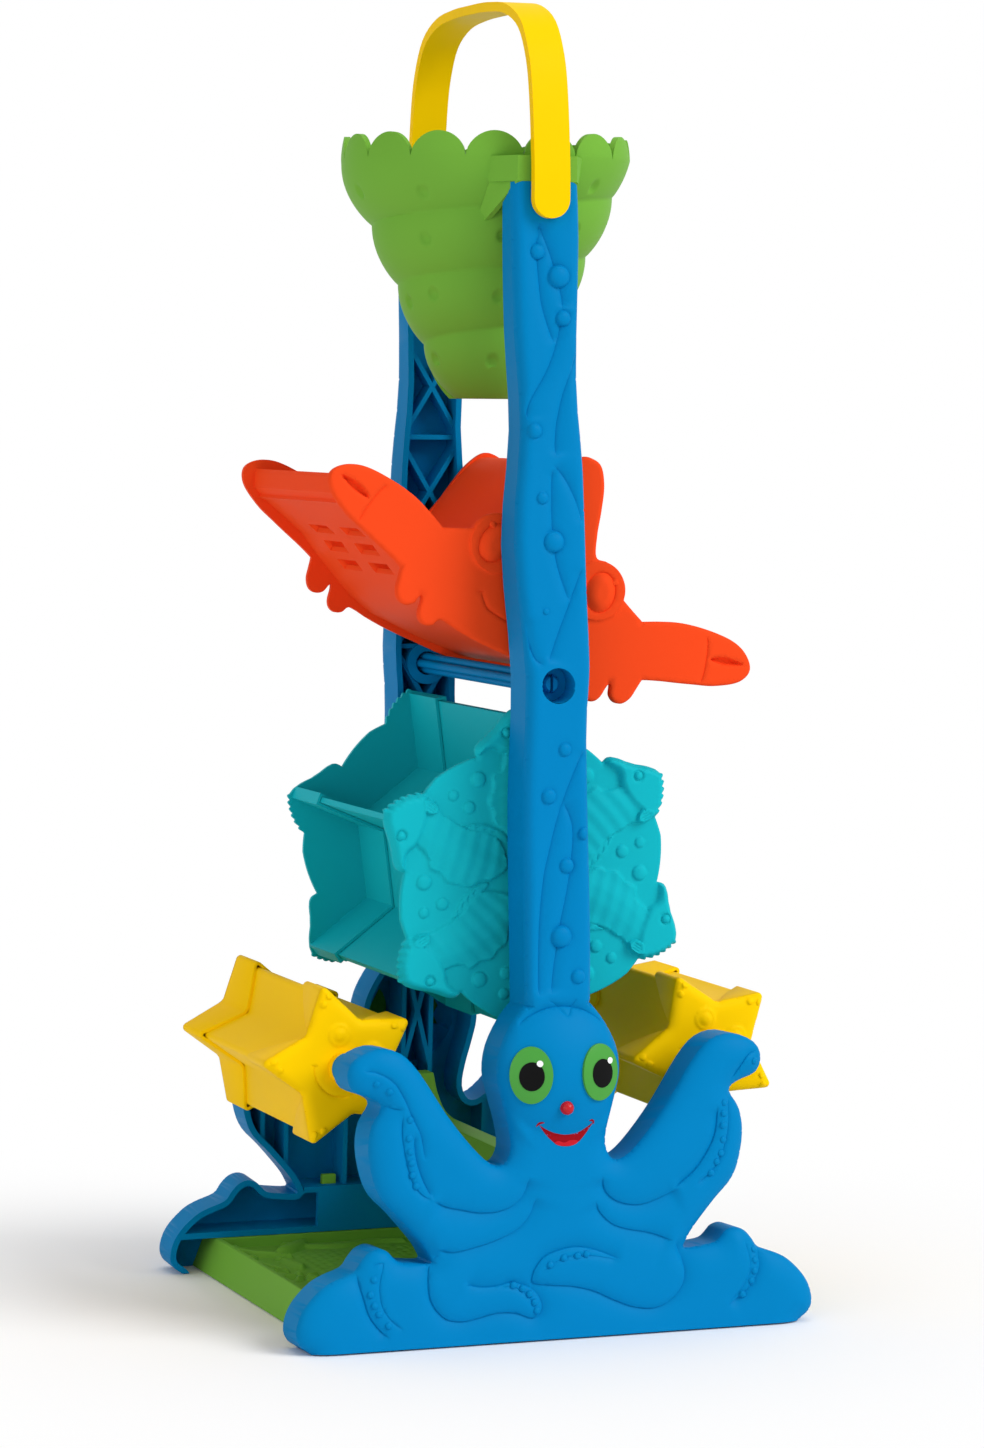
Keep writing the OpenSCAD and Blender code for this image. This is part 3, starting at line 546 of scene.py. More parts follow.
def column_edge(waves):
    middle = [(COLUMN_HALF + out, NECK + share * (TOP - NECK)) for share, out in waves]
    return three_steps([(COLUMN_HALF, NECK)] + middle + [(COLUMN_HALF, TOP + 8)])[1:]


def clip(loop, level, keep_above):
    """Cuts a closed loop off at a height."""
    out = []
    for p, q in zip(loop, np.roll(loop, -1, axis=0)):
        p_in, q_in = ((p[1] >= level) == keep_above), ((q[1] >= level) == keep_above)
        if p_in:
            out.append(p)
        if p_in != q_in:
            out.append(p + (q - p) * (level - p[1]) / (q[1] - p[1]))
    return np.array(out)


creature_edge = three_steps(half_creature)
mirror = np.array([-1, 1])
outline = np.concatenate([
    creature_edge, column_edge(right_waves),
    (column_edge(left_waves) * mirror)[::-1], (creature_edge * mirror)[::-1]])
floor_h = -(DEPTH - EDGE) * math.tan(LEAN)
top_h = TOP - 7 * EDGE / TOP_DEPTH
outline = clip(clip(outline, floor_h, True), TOP, False)
corner = np.where(outline[:, 1] > TOP - 0.01)[0][0]
top_line = resample(outline[corner:corner + 2], 1.2)
outline = np.concatenate([outline[:corner], top_line, outline[corner + 2:]])
print("frame outline:", len(outline), "points")

# %% [markdown]
# The lines of the relief are places across and up the face. Each is a step: one side is a limb that lies on
# top, and the other sinks under it and fades out. The edge is well rounded on the limbs, less on the head
# and the column, and square at the floor and at the top, under the funnel's saddle.

# %% The limbs of the creature
COLUMN_EDGE, LIMB_EDGE = 4.2, 8.0
HEAD_ZONE_Z, HEAD_ZONE_R = 108, 33


def roundness(p):
    """How far in the rounding of the frame's edge reaches."""
    limb = ease((134 - p[:, 1]) / 10)
    head = ease((HEAD_ZONE_R - np.hypot(p[:, 0], p[:, 1] - HEAD_ZONE_Z)) / 5)
    return COLUMN_EDGE + LIMB_EDGE * limb * (1 - head)


face = Relief(outline, grid=1.25, soft=COLUMN_EDGE, fall=EDGE, softness=roundness)
on_floor = np.where(outline[:, 1] < floor_h + 0.01)[0]
last = on_floor[np.argmax(outline[on_floor, 0])]
around = np.roll(outline, -last, axis=0)
at_top = np.where(around[:, 1] > TOP - 0.01)[0]
face.soft_edges = [around[:at_top[0] + 1], around[at_top[-1]:]]
limbs = [
    ("right", 3.4, 8.0, [(18, 65.5), (20, 58.5), (26, 54), (35, 52.5), (44.5, 55), (52.5, 58.5)]),
    ("right", 3.2, 8.0, [(15, 55.5), (17.5, 50), (23, 45), (30, 42.5), (39.5, 40.5), (50, 36.5)]),
    ("left", 3.4, 8.0, [
        (-14.5, 66.5), (-16, 60.5), (-20.5, 55.5), (-28, 53), (-36, 53), (-43, 54.5), (-49.5, 56),
        (-56, 59)]),
    ("left", 3.2, 8.0, [
        (-11, 58.5), (-13.5, 51.5), (-19, 45.5), (-28, 41.5), (-37.5, 39), (-47, 37.5), (-54.5, 39)]),
    ("left", 2.6, 6.0, [
        (50, 36.5), (53.5, 30), (54.5, 21), (50.5, 14), (42.5, 9.5), (33, 10), (23.5, 13.5), (14, 18),
        (4.5, 20.5), (-5, 21.5), (-12, 22.5), (-13, 24), (-12, 28), (-8, 33), (-1.5, 35.5),
        (6.5, 36.5), (15.5, 34.5), (26, 30)]),
    ("right", 0.7, 1.6, [(-10, 26.5), (-3, 31), (4.5, 33), (14, 32.5), (26, 30)]),
    ("right", 2.6, 6.0, [
        (-51.5, 37), (-56, 34), (-58, 26.5), (-57, 18), (-51.5, 11), (-44, 9), (-36.5, 10),
        (-28.5, 11.5), (-20.5, 11), (-13.5, 8.5), (-10, 10), (-9, 14), (-12, 19.5), (-17.5, 22.5),
        (-23, 23.5), (-28.5, 22.5), (-36, 22.5), (-44, 24.5)]),
    ("left", 0.7, 1.6, [(-11.5, 9), (-13, 14.5), (-16.5, 19), (-22, 22), (-28.5, 22.5)]),
    ("right", 2.2, 5.0, [(-88.5, 31.5), (-87.5, 26.5), (-86, 21), (-83.5, 13.5), (-79, 7.5), (-75, 4)]),
    ("right", 0.6, 1.2, [
        (-83.5, 32), (-81, 34.5), (-78, 35), (-77.5, 34), (-79, 28.5), (-79.5, 23.5), (-78, 16.5),
        (-74, 11), (-68.5, 6.5)]),
    ("left", 2.2, 5.0, [
        (88.5, 32.5), (88.5, 28), (88.5, 23.5), (86.5, 19), (83.5, 15), (79, 11.5), (73.5, 8)]),
    ("left", 0.6, 1.2, [(81, 36.5), (83, 31), (84, 26.5), (83.5, 21.5), (81, 16.5), (78, 12.5), (74, 9.5)]),
    ("right", 1.2, 2.2, [(90, 114), (84, 112), (79.5, 106), (76, 101.5)]),
    ("right", 2.2, 4.0, [(70, 92), (69, 81), (65, 72.5), (58.5, 64.5), (49.5, 58)]),
    ("left", 1.2, 2.4, [(75, 96.5), (74.5, 82.5), (71.5, 72), (67, 65), (59, 59)]),
    ("left", 1.2, 2.4, [
        (-86.5, 113), (-80, 112), (-73, 108), (-68.5, 101.5), (-65, 93.5), (-61, 85), (-59.5, 74.5)]),
    ("right", 1.2, 2.4, [(-68.5, 95.5), (-69, 86.5), (-67.5, 76.5), (-65, 67.5), (-61, 62), (-56, 59)]),
    ("left", 2.0, 3.6, [(-64, 88), (-63.5, 77.5), (-60.5, 67.5), (-56, 59)]),
    ("right", 1.2, 2.4, [(-79, 101), (-73, 97.5), (-67, 96.5)]),
]
for low, depth, width, points in limbs:
    face.crease(points, low, depth, width)
print("lines of the limbs:", len(limbs))

# %% [markdown]
# Strands of seaweed run up the column, with round bubbles between them, and a ring sets the ball of the
# head off from the column. The suckers along the arms are small domes. Two round holes stay open, for the
# crossbar and for the stud of the handle.

# %% The seaweed, the head and the suckers
STRAND_DEPTH, STRAND_WIDTH = 2.3, 5.0
strands = [
    [(-4, 456.5), (-4, 451), (-5, 448), (-5, 440), (-4.5, 432.5), (-3.5, 423), (-1, 414), (2, 406.5)],
    [(-4, 456), (-0.5, 447), (2, 439.5), (4.5, 429.5), (5.5, 425), (5.5, 421)],
    [(5.5, 421.5), (4.5, 413.5), (2, 405), (-2, 395.5), (-8.5, 385), (-10.5, 380), (-11, 375.5)],
    [(11.5, 403), (9, 396), (6.5, 390), (4, 383), (1.5, 371.5), (1, 360.5)],
    [(-0.5, 355.5), (-1, 343), (-1, 331), (0, 320.5), (2, 312), (6, 301)],
    [(0, 357), (4.5, 352.5), (9.5, 343), (12.5, 333)],
    [(11.5, 315), (9.5, 309.5), (6, 301), (1, 289.5), (-4, 276.5)],
    [(-13.5, 295), (-12.5, 286.5), (-10, 278.5), (-6, 275)],
    [(11, 240.5), (6, 230), (2, 220.5), (-1.5, 210.5), (-4, 201), (-6.5, 191), (-8, 180),
     (-9, 169), (-9.5, 154.5), (-9.5, 140)],
    [(2, 219.5), (4.5, 214.5), (6, 208.5), (5.5, 197.5), (3.5, 184.5), (0.5, 171), (-1.5, 160),
     (-3, 150.5), (-4, 141)],
]
for points in strands:
    face.crease(points, "left", STRAND_DEPTH, STRAND_WIDTH, ends=(3, 3))
HEAD_Z, HEAD_R, HEAD_D = 108.7, 51.79, -22.99
HEAD_EDGE, HEAD_RING = 26.6, 27
ring_turns = np.radians(np.linspace(-44, 44, 12))
head_ring = [(HEAD_RING * math.sin(a), HEAD_Z + HEAD_RING * math.cos(a)) for a in ring_turns]
face.crease(head_ring, "left", 2.0, 3.0, ends=(3, 3))
head_notch = [(-5.8, 138.3), (-1.6, 136), (2.6, 131.8), (5.5, 136.4), (7.5, 138.8)]
face.crease(head_notch, "left", 0.7, 1.4, ends=(2, 2))
SUCKER_R, SUCKER_RISE = 1.45, 0.75
suckers = [
    (-5.5, 30), (0.5, 32.5), (6.5, 33), (10.5, 33.5), (-21.5, 22.5), (-17.5, 21), (-14.5, 18.5),
    (-12.5, 15), (-11.5, 11.5), (-82, 28.5), (-83.5, 22.5), (-82, 18), (-80, 14.5), (-76, 9.5),
    (86.5, 31), (86.5, 26.5), (86, 22), (84.5, 18), (80.5, 12.5), (87, 109.5), (73, 93), (72.5, 88.5),
    (72, 83.5), (72, 77.5), (71, 72), (69, 68.5), (66.5, 64), (-80, 107.5), (-74.5, 104), (-66, 92.5),
    (-66.5, 85), (-66, 79.5), (-65.5, 75), (-65, 70), (-63.5, 65.5)]
for x, h in suckers:
    face.bubble(x, h, SUCKER_R, SUCKER_RISE)
bubbles = [
    (-4.9, 444.4, 3.1), (4.2, 434.4, 4.5), (5.8, 417.3, 3.1), (-8.1, 371.1, 3.1), (-5.3, 343.7, 2.5),
    (-0.6, 325.9, 4.3), (-4.8, 297.4, 1.4), (2.5, 240.9, 2.7), (-4.7, 221.9, 3.1), (11, 206.3, 2.5),
    (3, 193.4, 3.1), (0.5, 164.4, 4.3), (7.6, 147.8, 2.9)]
for x, h, r in bubbles:
    face.bubble(x, h, r, 0.5 * r)
PIVOT_Z, RECESS_R, STUD_HOLE_R = 465.9, 7.3, 4.08
face.hole(0, BEND - DEPTH * math.sin(LEAN), RECESS_R)
face.hole(0, PIVOT_Z - TOP_DEPTH * math.sin(LEAN), STUD_HOLE_R)
print("creases:", len(face.creases), "bubbles:", len(face.bumps))

# %% [markdown]
# The CAD shell keeps the inside and the lower walls. Its outer face is taken off, down to where the edge
# starts to round, and the relief sheet with the same outline will take its place. Two cuts along planes
# give the walls a clean upper edge for that.

# %% The CAD shell without its outer face
def head_depth(p):
    """The plain depth of the frame, with the ball of the head standing out of it."""
    r2 = p[:, 0] ** 2 + (p[:, 1] - HEAD_Z) ** 2
    ball = HEAD_D + np.sqrt(np.clip(HEAD_R ** 2 - r2, 0, None))
    plain = face_depth(p[:, 1])
    return np.where(np.sqrt(r2) < HEAD_EDGE, np.maximum(ball, plain), plain)


def without_outer_face(mesh):
    """Takes off the faces that the sheet stands for: outer face, head, and walls above the soft edge."""
    shape = bmesh.new()
    shape.from_mesh(mesh)
    out = Vector((0, -math.cos(LEAN), math.sin(LEAN)))
    low = Vector(from_frame(0.0, 0.0, DEPTH - EDGE)) * MM
    bend = Vector(from_frame(0.0, BEND, DEPTH - EDGE)) * MM
    slope = math.atan2(DEPTH - TOP_DEPTH, TOP - BEND)
    up = Vector((0, math.sin(LEAN), math.cos(LEAN)))
    tilted = out * math.cos(slope) + up * math.sin(slope)
    for point, normal in ((low, out), (bend, tilted)):
        everything = list(shape.verts) + list(shape.edges) + list(shape.faces)
        bmesh.ops.bisect_plane(shape, geom=everything, plane_co=point, plane_no=normal, dist=1e-6)
    middle = np.array([f.calc_center_median()[:] for f in shape.faces]) / MM
    p = to_frame(middle)
    on_wall = (np.abs(along(p[:, :2], closed(outline))[0]) < 0.08) | ~inside(p[:, :2], outline)
    above = p[:, 2] > face_depth(p[:, 1]) - EDGE + 0.01
    on_face = p[:, 2] > face_depth(p[:, 1]) - 0.05
    on_top = (p[:, 1] > top_h + 0.02) & above
    under = (middle[:, 2] < 0.02) & above
    gone = above & (on_wall | on_face | on_top | under)
    bmesh.ops.delete(shape, geom=[f for f, g in zip(list(shape.faces), gone) if g], context="FACES")
    shape.to_mesh(mesh)
    shape.free()
    return mesh


shell = without_outer_face(cad_mesh("front_frame"))
print("shell faces kept:", len(shell.polygons))

# %% [markdown]
# The sheet is laid over the face: the plain depth of the frame, a ball for the head, and the relief on top.
# Inside, the ceiling of the shell is lowered under the deepest crease. Strips close the sheet at the floor
# and at the top. The rear frame is the same moulding turned half round, so it gets the same mesh, turned.

# %% Lay the relief on both frames
flat, triangles = relief_mesh(face)
rise, drop = relief_height(face, flat)
sheet = from_frame(flat[:, 0], flat[:, 1], head_depth(flat) + rise - drop)
shell_points = np.array([v.co[:] for v in shell.vertices]) / MM
drawn = to_frame(shell_points)
ceiling = np.abs(drawn[:, 2] - face_depth(drawn[:, 1]) + SKIN) < 0.1
drawn[ceiling, 2] -= DEEPEST + 0.6 - SKIN
shell_points[ceiling] = from_frame(*drawn[ceiling].T)
low = np.where(flat[:, 1] < floor_h + 0.001)[0]
low = low[np.argsort(flat[low, 0])]
sole = from_frame(flat[low, 0], flat[low, 1], np.full(len(low), DEPTH - EDGE))
high = np.where(flat[:, 1] > TOP - 0.001)[0]
high = high[np.argsort(flat[high, 0])]
crown_depth = np.full(len(high), face_depth(top_h) - EDGE)
crown = from_frame(flat[high, 0], np.full(len(high), top_h), crown_depth)
points = np.concatenate([shell_points, sheet, sole, crown])
first, under = len(shell_points), len(shell_points) + len(sheet)
over = under + len(sole)
faces = [tuple(f.vertices) for f in shell.polygons] + [tuple(int(i) + first for i in f) for f in triangles]
faces += [(first + low[i], under + i, under + i + 1, first + low[i + 1]) for i in range(len(low) - 1)]
faces += [(first + high[i], first + high[i + 1], over + i + 1, over + i) for i in range(len(high) - 1)]
front = stand_in(make_object("front_frame_moulding", points, faces, "blue"), "blue", "front_frame")
rear_mesh = front.data.copy()
rear_mesh.transform(Matrix.Rotation(math.pi, 4, "Z"))
stand_in(finish_mesh("rear_frame_moulding", rear_mesh, "blue"), "blue", "rear_frame")
print("relief points:", len(flat), "moulding faces:", len(front.data.polygons))

# %% [markdown]
# The faces are printed: black pupils with a white glint on the green ovals, and a smiling mouth. A print is
# a thin film, so each is a patch laid a tenth or two of a millimetre over what it is printed on.

# %% Printed faces
EYE_PROUD = 1.1
FILM, MIDDLE_FILM, UPPER_FILM = 0.1, 0.15, 0.2
PUPIL_Z, PUPIL_HALF_W, PUPIL_HALF_H, GLINT_R = 108.25, 5.05, 5.95, 1.3


def film(name, loop, look, over, reach):
    """A closed patch laid on the head's ball at a height over it, on both frames."""
    patch = Relief(loop, grid=0.8, soft=0.3)
    flat, triangles = relief_mesh(patch)
    ball = HEAD_D + np.sqrt((HEAD_R + reach) ** 2 - flat[:, 0] ** 2 - (flat[:, 1] - HEAD_Z) ** 2)
    low = face_depth(flat[:, 1]) + 0.02
    depth = (np.maximum(ball, low) if reach == 0 else ball) + over
    points = from_frame(flat[:, 0], flat[:, 1], depth)
    for side, turn in (("front", 1), ("rear", -1)):
        piece = make_object(f"{side}_{name}", points * [turn, turn, 1], triangles, look)
        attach(piece, "tower")


def oval(x, z, rx, rz, lean=0):
    """An oval, whose top leans to the left by an angle in degrees."""
    turn, a = np.linspace(0, 2 * np.pi, 49)[:-1], math.radians(lean)
    u, v = rx * np.cos(turn), rz * np.sin(turn)
    return np.stack([x + u * math.cos(a) - v * math.sin(a), z + u * math.sin(a) + v * math.cos(a)], 1)


def band(points, widths, gap):
    """A closed loop round a line, at half widths that are spread along it."""
    line = smooth_line(points, gap)
    left = left_of(np.gradient(line, axis=0))
    wide = np.interp(np.linspace(0, 1, len(line)), np.linspace(0, 1, len(widths)), widths)[:, None]
    return np.concatenate([line + left * wide, (line - left * wide)[::-1]])


for side, x, glint_x, glint_z in (("left", -15.3, -12.1, 113.5), ("right", 15.9, 19.7, 113.3)):
    film(f"{side}_pupil", oval(x, PUPIL_Z, PUPIL_HALF_W, PUPIL_HALF_H), "pupil", FILM, EYE_PROUD)
    film(f"{side}_glint", oval(glint_x, glint_z, GLINT_R, GLINT_R), "glint", UPPER_FILM, EYE_PROUD)
upper_lip = [(-11, 88.3), (-8.4, 86.4), (-4, 84.3), (1.5, 83.2), (6.7, 83.9), (10.6, 85.9), (13.7, 88.1)]
lower_lip = [
    (13.7, 88.1), (11.3, 84.6), (7.8, 80.6), (4.1, 78.6), (-1.2, 78.8), (-5.1, 81.4), (-8.7, 85.3),
    (-11, 88.3)]
lips = np.concatenate([smooth_line(lip, 0.8)[:-1] for lip in (upper_lip, lower_lip)])
film("mouth", lips, "mouth", FILM, 0)
tongue = [
    (-3.4, 80), (-1.9, 80.8), (0.9, 80), (3.2, 80.8), (5.9, 80.8), (6.9, 79.9), (4.3, 78.7), (-1, 78.8)]
film("tongue", smooth_line(tongue, 0.6, True)[:-1], "tongue", UPPER_FILM, 0)
left_tick = [(-11.8, 87.2), (-10.7, 88.6), (-8.7, 88.8)]
right_tick = [(11.3, 88.7), (13, 88.6), (13.8, 87.1)]
for side, tick in (("left", left_tick), ("right", right_tick)):
    film(f"{side}_dimple", band(tick, [0.12, 0.4, 0.45, 0.4, 0.12], 0.5), "mouth", MIDDLE_FILM, 0)
print("mouth outline:", len(lips), "points")

# %% [markdown]
# The funnel is a shell: one bowl-shaped band winds down to the outlet, so the crease between its turns is a
# helix. Turning a profile about an axis could not give that, so the radius is a formula of the angle and
# the height. The last turn has no crease of its own and runs out into the bowl above it.

# %% The shape of the funnel
RIM_R, VALLEY, SCALLOP, OUTLET, TIP_Z, WALL = 62.0, 484.0, 10.3, 6.5, 384.4, 2.4
PITCH, START, START_Z, RIM_TURN = 25.0, 159.2, 457.3, 16.4115
LAST_CREASE, RUN_OUT = 406.5, 12
SCALLOPS = 16
crease_z = [350, 384.4, 395, 406.5, 419, 432.4, 445, 457.3, 470, 482.3, 488, 520]
crease_r = [9, 12, 18.5, 25.4, 31, 37, 42.5, 48.2, 53.5, 61.3, RIM_R, RIM_R]


def helix(turn):
    return START_Z + PITCH * (((turn - START) % 360) / 360)


def shell_radius(turn, z):
    """The outside of the shell at an angle in degrees and a height."""
    top = helix(turn) + PITCH * (np.floor((z - helix(turn)) / PITCH) + 1)
    t = (top - z) / PITCH
    r_top, r_low = np.interp(top, crease_z, crease_r), np.interp(top - PITCH, crease_z, crease_r)
    bowl = r_low + (r_top - r_low) * np.clip(1 - t * t, 0, 1) ** 0.9
    above = np.where(top < LAST_CREASE, top + PITCH, top)
    t = np.clip((above - z) / (above - TIP_Z), 0, 1)
    r_top = np.interp(above, crease_z, crease_r)
    smooth = crease_r[1] + (r_top - crease_r[1]) * (1 - t * t) ** 0.9
    last = np.where(top < LAST_CREASE, top, top - PITCH)
    share = ease((last - LAST_CREASE + RUN_OUT) / RUN_OUT)
    return np.where(above < LAST_CREASE + PITCH, share * bowl + (1 - share) * smooth, bowl)


def rim_height(turn):
    """The height of the scalloped rim at an angle in degrees."""
    u = np.abs(((turn - RIM_TURN) / (360 / SCALLOPS)) % 1 * 2 - 1)
    return VALLEY + SCALLOP * np.clip(1 - u * u, 0, 1) ** 0.58


print("rim from", VALLEY, "to", VALLEY + SCALLOP, "mm")

# %% [markdown]
# Rows of points follow the helix, and rows above the scalloped rim are pressed down onto it, which gives the
# scallops their outline. Small dimples are pressed into the bands. The inner wall is the same surface set in.

# %% The wall of the funnel
PER_TURN = 26
COLUMNS = SCALLOPS * PER_TURN
RIM_LEAN, DIMPLE_R, DIMPLE_DEPTH = 1.3, 2.7, 1.5
dimples = [
    (184, 470.5), (222, 469.5), (218, 450.5), (188, 425), (214, 428), (258, 427), (194, 401), (256, 400.5)]
for first_turn, first_z in ((262, 470), (258, 452), (296, 430), (296, 403)):
    dimples += [(first_turn + 40 * k, first_z + 40 * k * PITCH / 360) for k in range(6)]
turns = START + np.linspace(0, 360, COLUMNS + 1)[:, None]
steps = np.arange(-4 * PER_TURN, 2 * PER_TURN + 1)[None]
heights = START_Z + PITCH * (turns - START) / 360 + PITCH * steps / PER_TURN
heights = np.clip(heights, TIP_Z, rim_height(turns))
radius = shell_radius(np.minimum(turns, START + 359.9999), np.minimum(heights, VALLEY + 1) - 1e-6)
radius = radius - RIM_LEAN * np.clip((heights - VALLEY) / SCALLOP, 0, 1) ** 2
for dimple_turn, dimple_z in dimples:
    sideways = np.radians((turns - dimple_turn + 180) % 360 - 180) * radius
    away = np.hypot(sideways, heights - dimple_z)
    radius = radius - DIMPLE_DEPTH * np.clip(1 - (away / DIMPLE_R) ** 2, 0, 1) ** 0.6
cos, sin = np.cos(np.radians(turns)), np.sin(np.radians(turns))
set_in = np.maximum(radius - WALL - 0.2, OUTLET)
points = [np.stack([r * cos, r * sin, heights], 2).reshape(-1, 3) for r in (radius, set_in)]
points = list(np.concatenate(points))
rows = steps.shape[1]


def grid_faces(start, flip):
    """The faces between the columns of points on one side of the wall."""
    i, j = np.meshgrid(np.arange(COLUMNS), np.arange(rows - 1), indexing="ij")
    a = start + i * rows + j
    quad = np.stack([a, a + rows, a + rows + 1, a + 1], 2).reshape(-1, 4)
    return quad[:, ::-1] if flip else quad


count = (COLUMNS + 1) * rows
faces = [tuple(f) for f in np.concatenate([grid_faces(0, False), grid_faces(count, True)])]
for i in range(COLUMNS):
    for j, flip in ((rows - 1, False), (0, True)):
        quad = [i * rows + j, (i + 1) * rows + j, count + (i + 1) * rows + j, count + i * rows + j]
        faces.append(tuple(quad[::-1] if flip else quad))
print("dimples:", len(dimples), "wall faces:", len(faces))

# %% [markdown]
# Two saddles carry the funnel on the tops of the columns. Each is a seat with two side walls that flare
# towards the shell, and a plug that goes down into the column. They are plain blocks between two loops.

# %% The saddles of the funnel
SADDLE_Z, SADDLE_TOP, SADDLE_Y, SADDLE_W = 473.2, 483.7, 71.2, 26.0
FLARE, UPPER_FLARE, FLARE_Z, FLARE_RISE = 0.22, 0.3, 455, 28
BACK_R, LOW_REACH, TOP_REACH = 59, 19.6, 21.8
PLUG_HALF, PLUG_IN, PLUG_OUT = 10.1, 63.4, 66.6
wall_side = [
    (71, 483.5), (71, 473), (43, 455.2), (41.6, 455.2), (46.4, 462), (52.4, 469), (57, 476), (58.6, 483.5)]


def add_block(points, faces, near, far):
    """Adds a closed block between two loops with the same number of points."""
    start, n = len(points), len(near)
    points += [tuple(p) for p in near] + [tuple(p) for p in far]
    faces += [(start + i, start + (i + 1) % n, start + n + (i + 1) % n, start + n + i) for i in range(n)]
    faces += [tuple(range(start + n - 1, start - 1, -1)), tuple(range(start + n, start + 2 * n))]


def saddle_half(y, h):
    """Half the width of a saddle at a distance from the middle of the tower and a height."""
    return SADDLE_W / 2 + (FLARE + UPPER_FLARE * (h - FLARE_Z) / FLARE_RISE) * (SADDLE_Y - y)


def saddle_plan(h, reach):
    """The outline of a saddle at a height; its back is an arc inside the shell, of an angle either way."""
    half = saddle_half(SADDLE_Y, h)
    arc = np.radians(np.linspace(reach, -reach, 9))
    return [(-half, SADDLE_Y), (half, SADDLE_Y)] + [(BACK_R * math.sin(a), BACK_R * math.cos(a)) for a in arc]


plug = [
    (PLUG_OUT, SADDLE_Z - 21), (PLUG_IN, SADDLE_Z - 21), (PLUG_IN, SADDLE_Z + 2), (PLUG_OUT, SADDLE_Z + 2)]
for turn in (1, -1):
    seat = [[(turn * x, -turn * y, h) for x, y in saddle_plan(h, reach)]
            for h, reach in ((SADDLE_Z, LOW_REACH), (SADDLE_TOP, TOP_REACH))]
    add_block(points, faces, *seat)
    for side in (-1, 1):
        wall = [[(turn * side * (saddle_half(y, h) - inset), -turn * y, h) for y, h in wall_side]
                for inset in (0.05, WALL)]
        add_block(points, faces, *wall)
    add_block(points, faces, *[[(x, -turn * y, h) for y, h in plug] for x in (-PLUG_HALF, PLUG_HALF)])
funnel = make_object("funnel_shell", points, faces, "green", sharp=50, outward=True)
stand_in(funnel, "green", "funnel")
print("funnel faces:", len(funnel.data.polygons))

# %% [markdown]
# The tray's floor is a sea bed in low relief: fish scales in the middle, a rolling ribbon along both long
# edges, and seaweed, leaves and pebbles at the outer end. It is one thin sheet on each half of the floor,
# the second turned round.

# %% The sea bed in the tray
FLOOR_Z, POCKET_X, POCKET_Y, RIDGE_X = 10.5, 91.6, 77.2, 5.6
SCALE_X, SCALE_Y, SCALE_RISE = 4.2, 7.0, 0.7


def scales(p):
    """Rows of fish scales, each raised at one end; every other row is half a scale on."""
    column = np.floor(p[:, 0] / SCALE_X)
    along_scale = (p[:, 1] / SCALE_Y + 0.5 * (column % 2)) % 1
    across = 2 * (p[:, 0] / SCALE_X - column) - 1
    return SCALE_RISE * along_scale * (1 - 0.7 * across ** 2)


pocket = [(-POCKET_X, -POCKET_Y), (-RIDGE_X, -POCKET_Y), (-RIDGE_X, POCKET_Y), (-POCKET_X, POCKET_Y)]
scaled_part = [
    (-66, 52), (-50, 58), (-30, 60), (-10, 58), (-8, 20), (-8, -58), (-30, -60), (-62, -58), (-66, -20)]
ribbon = np.array([(-62, 71), (-52, 67), (-40, 66), (-28, 69), (-17, 70), (-8, 68)])
long_weed = np.array([(-88, 74), (-87, 66), (-83, 58), (-76, 52), (-68, 47)])
short_weed = np.array([(-89, 43), (-86, 31), (-80, 16)])
long_leaf = np.array([(-73, 58), (-65, 68), (-57, 75), (-51.5, 74.5), (-57, 65), (-67, 56)])
short_leaf = np.array([(-76, 41), (-71.5, 37), (-69, 25), (-73, 20), (-76, 29)])
bed = Relief(pocket, grid=1.15, soft=0.8, fall=0)
bed.raised(scaled_part, 0.05, 2, pattern=scales)
for side in (-1, 1):
    bed.raised(band(ribbon * [1, side], [1.2, 3.4, 3.6, 3.4, 3.2, 2.6], 2), 1.8, 2.6)
for side in (-1, 1):
    bed.raised(band(long_weed * [1, side], [3.6, 3, 2.4, 1.8, 1], 2), 2.4, 2)
    bed.raised(long_leaf * [1, side], 3.0, 2.8)
    bed.raised(band(short_weed * [1, side], [2.6, 2, 1], 2), 2.0, 1.8)
    bed.raised(short_leaf * [1, side], 2.2, 2)
    for x, y, r in ((-62, 74, 3), (-85.5, 50.5, 3), (-74.5, 45.5, 2.6), (-86, 22, 2.4)):
        bed.bubble(x, side * y, r, 0.6 * r)
petal = ((1.5, 0), (4.5, 0.5), (8.2, 0.12), (8.2, -0.12), (4.5, -0.5))
for k in range(5):
    a = math.radians(72 * k + 20)
    bed.raised([(-78 + r * math.cos(a + t), 3 + r * math.sin(a + t)) for r, t in petal], 2.0, 1.4)
flat, triangles = relief_mesh(bed)
rise, _ = relief_height(bed, flat)
for name, turn in (("left", 1), ("right", -1)):
    points = np.stack([turn * flat[:, 0], turn * flat[:, 1], FLOOR_Z + 0.05 + rise], 1)
    piece = make_object(f"{name}_sea_bed", points, triangles, "green")
    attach(piece, "tower")
print("sea bed points:", len(flat))

# %% [markdown]
# The other flat mouldings are plates: relief in front, a wall round the edge, and a plain back. What else
# a CAD node has, such as an axle or the walls of a wheel, is kept from it and joined to the plate.

# %% Plates
def plate(relief, back):
    """Points (across, up, out) and faces of a plate whose front is a relief and whose back is flat."""
    flat, triangles = relief_mesh(relief)
    rise, drop = relief_height(relief, flat)
    count = len(flat)
    front = np.column_stack([flat, rise - drop])
    points = np.concatenate([front, np.column_stack([flat, np.full(count, -back)])])
    faces = [tuple(f) for f in triangles] + [tuple(f[::-1] + count) for f in triangles]
    edges = np.concatenate([triangles[:, [0, 1]], triangles[:, [1, 2]], triangles[:, [2, 0]]])
    known = {tuple(e) for e in edges}
    faces += [(b, a, a + count, b + count) for a, b in known if (b, a) not in known]
    return points, faces


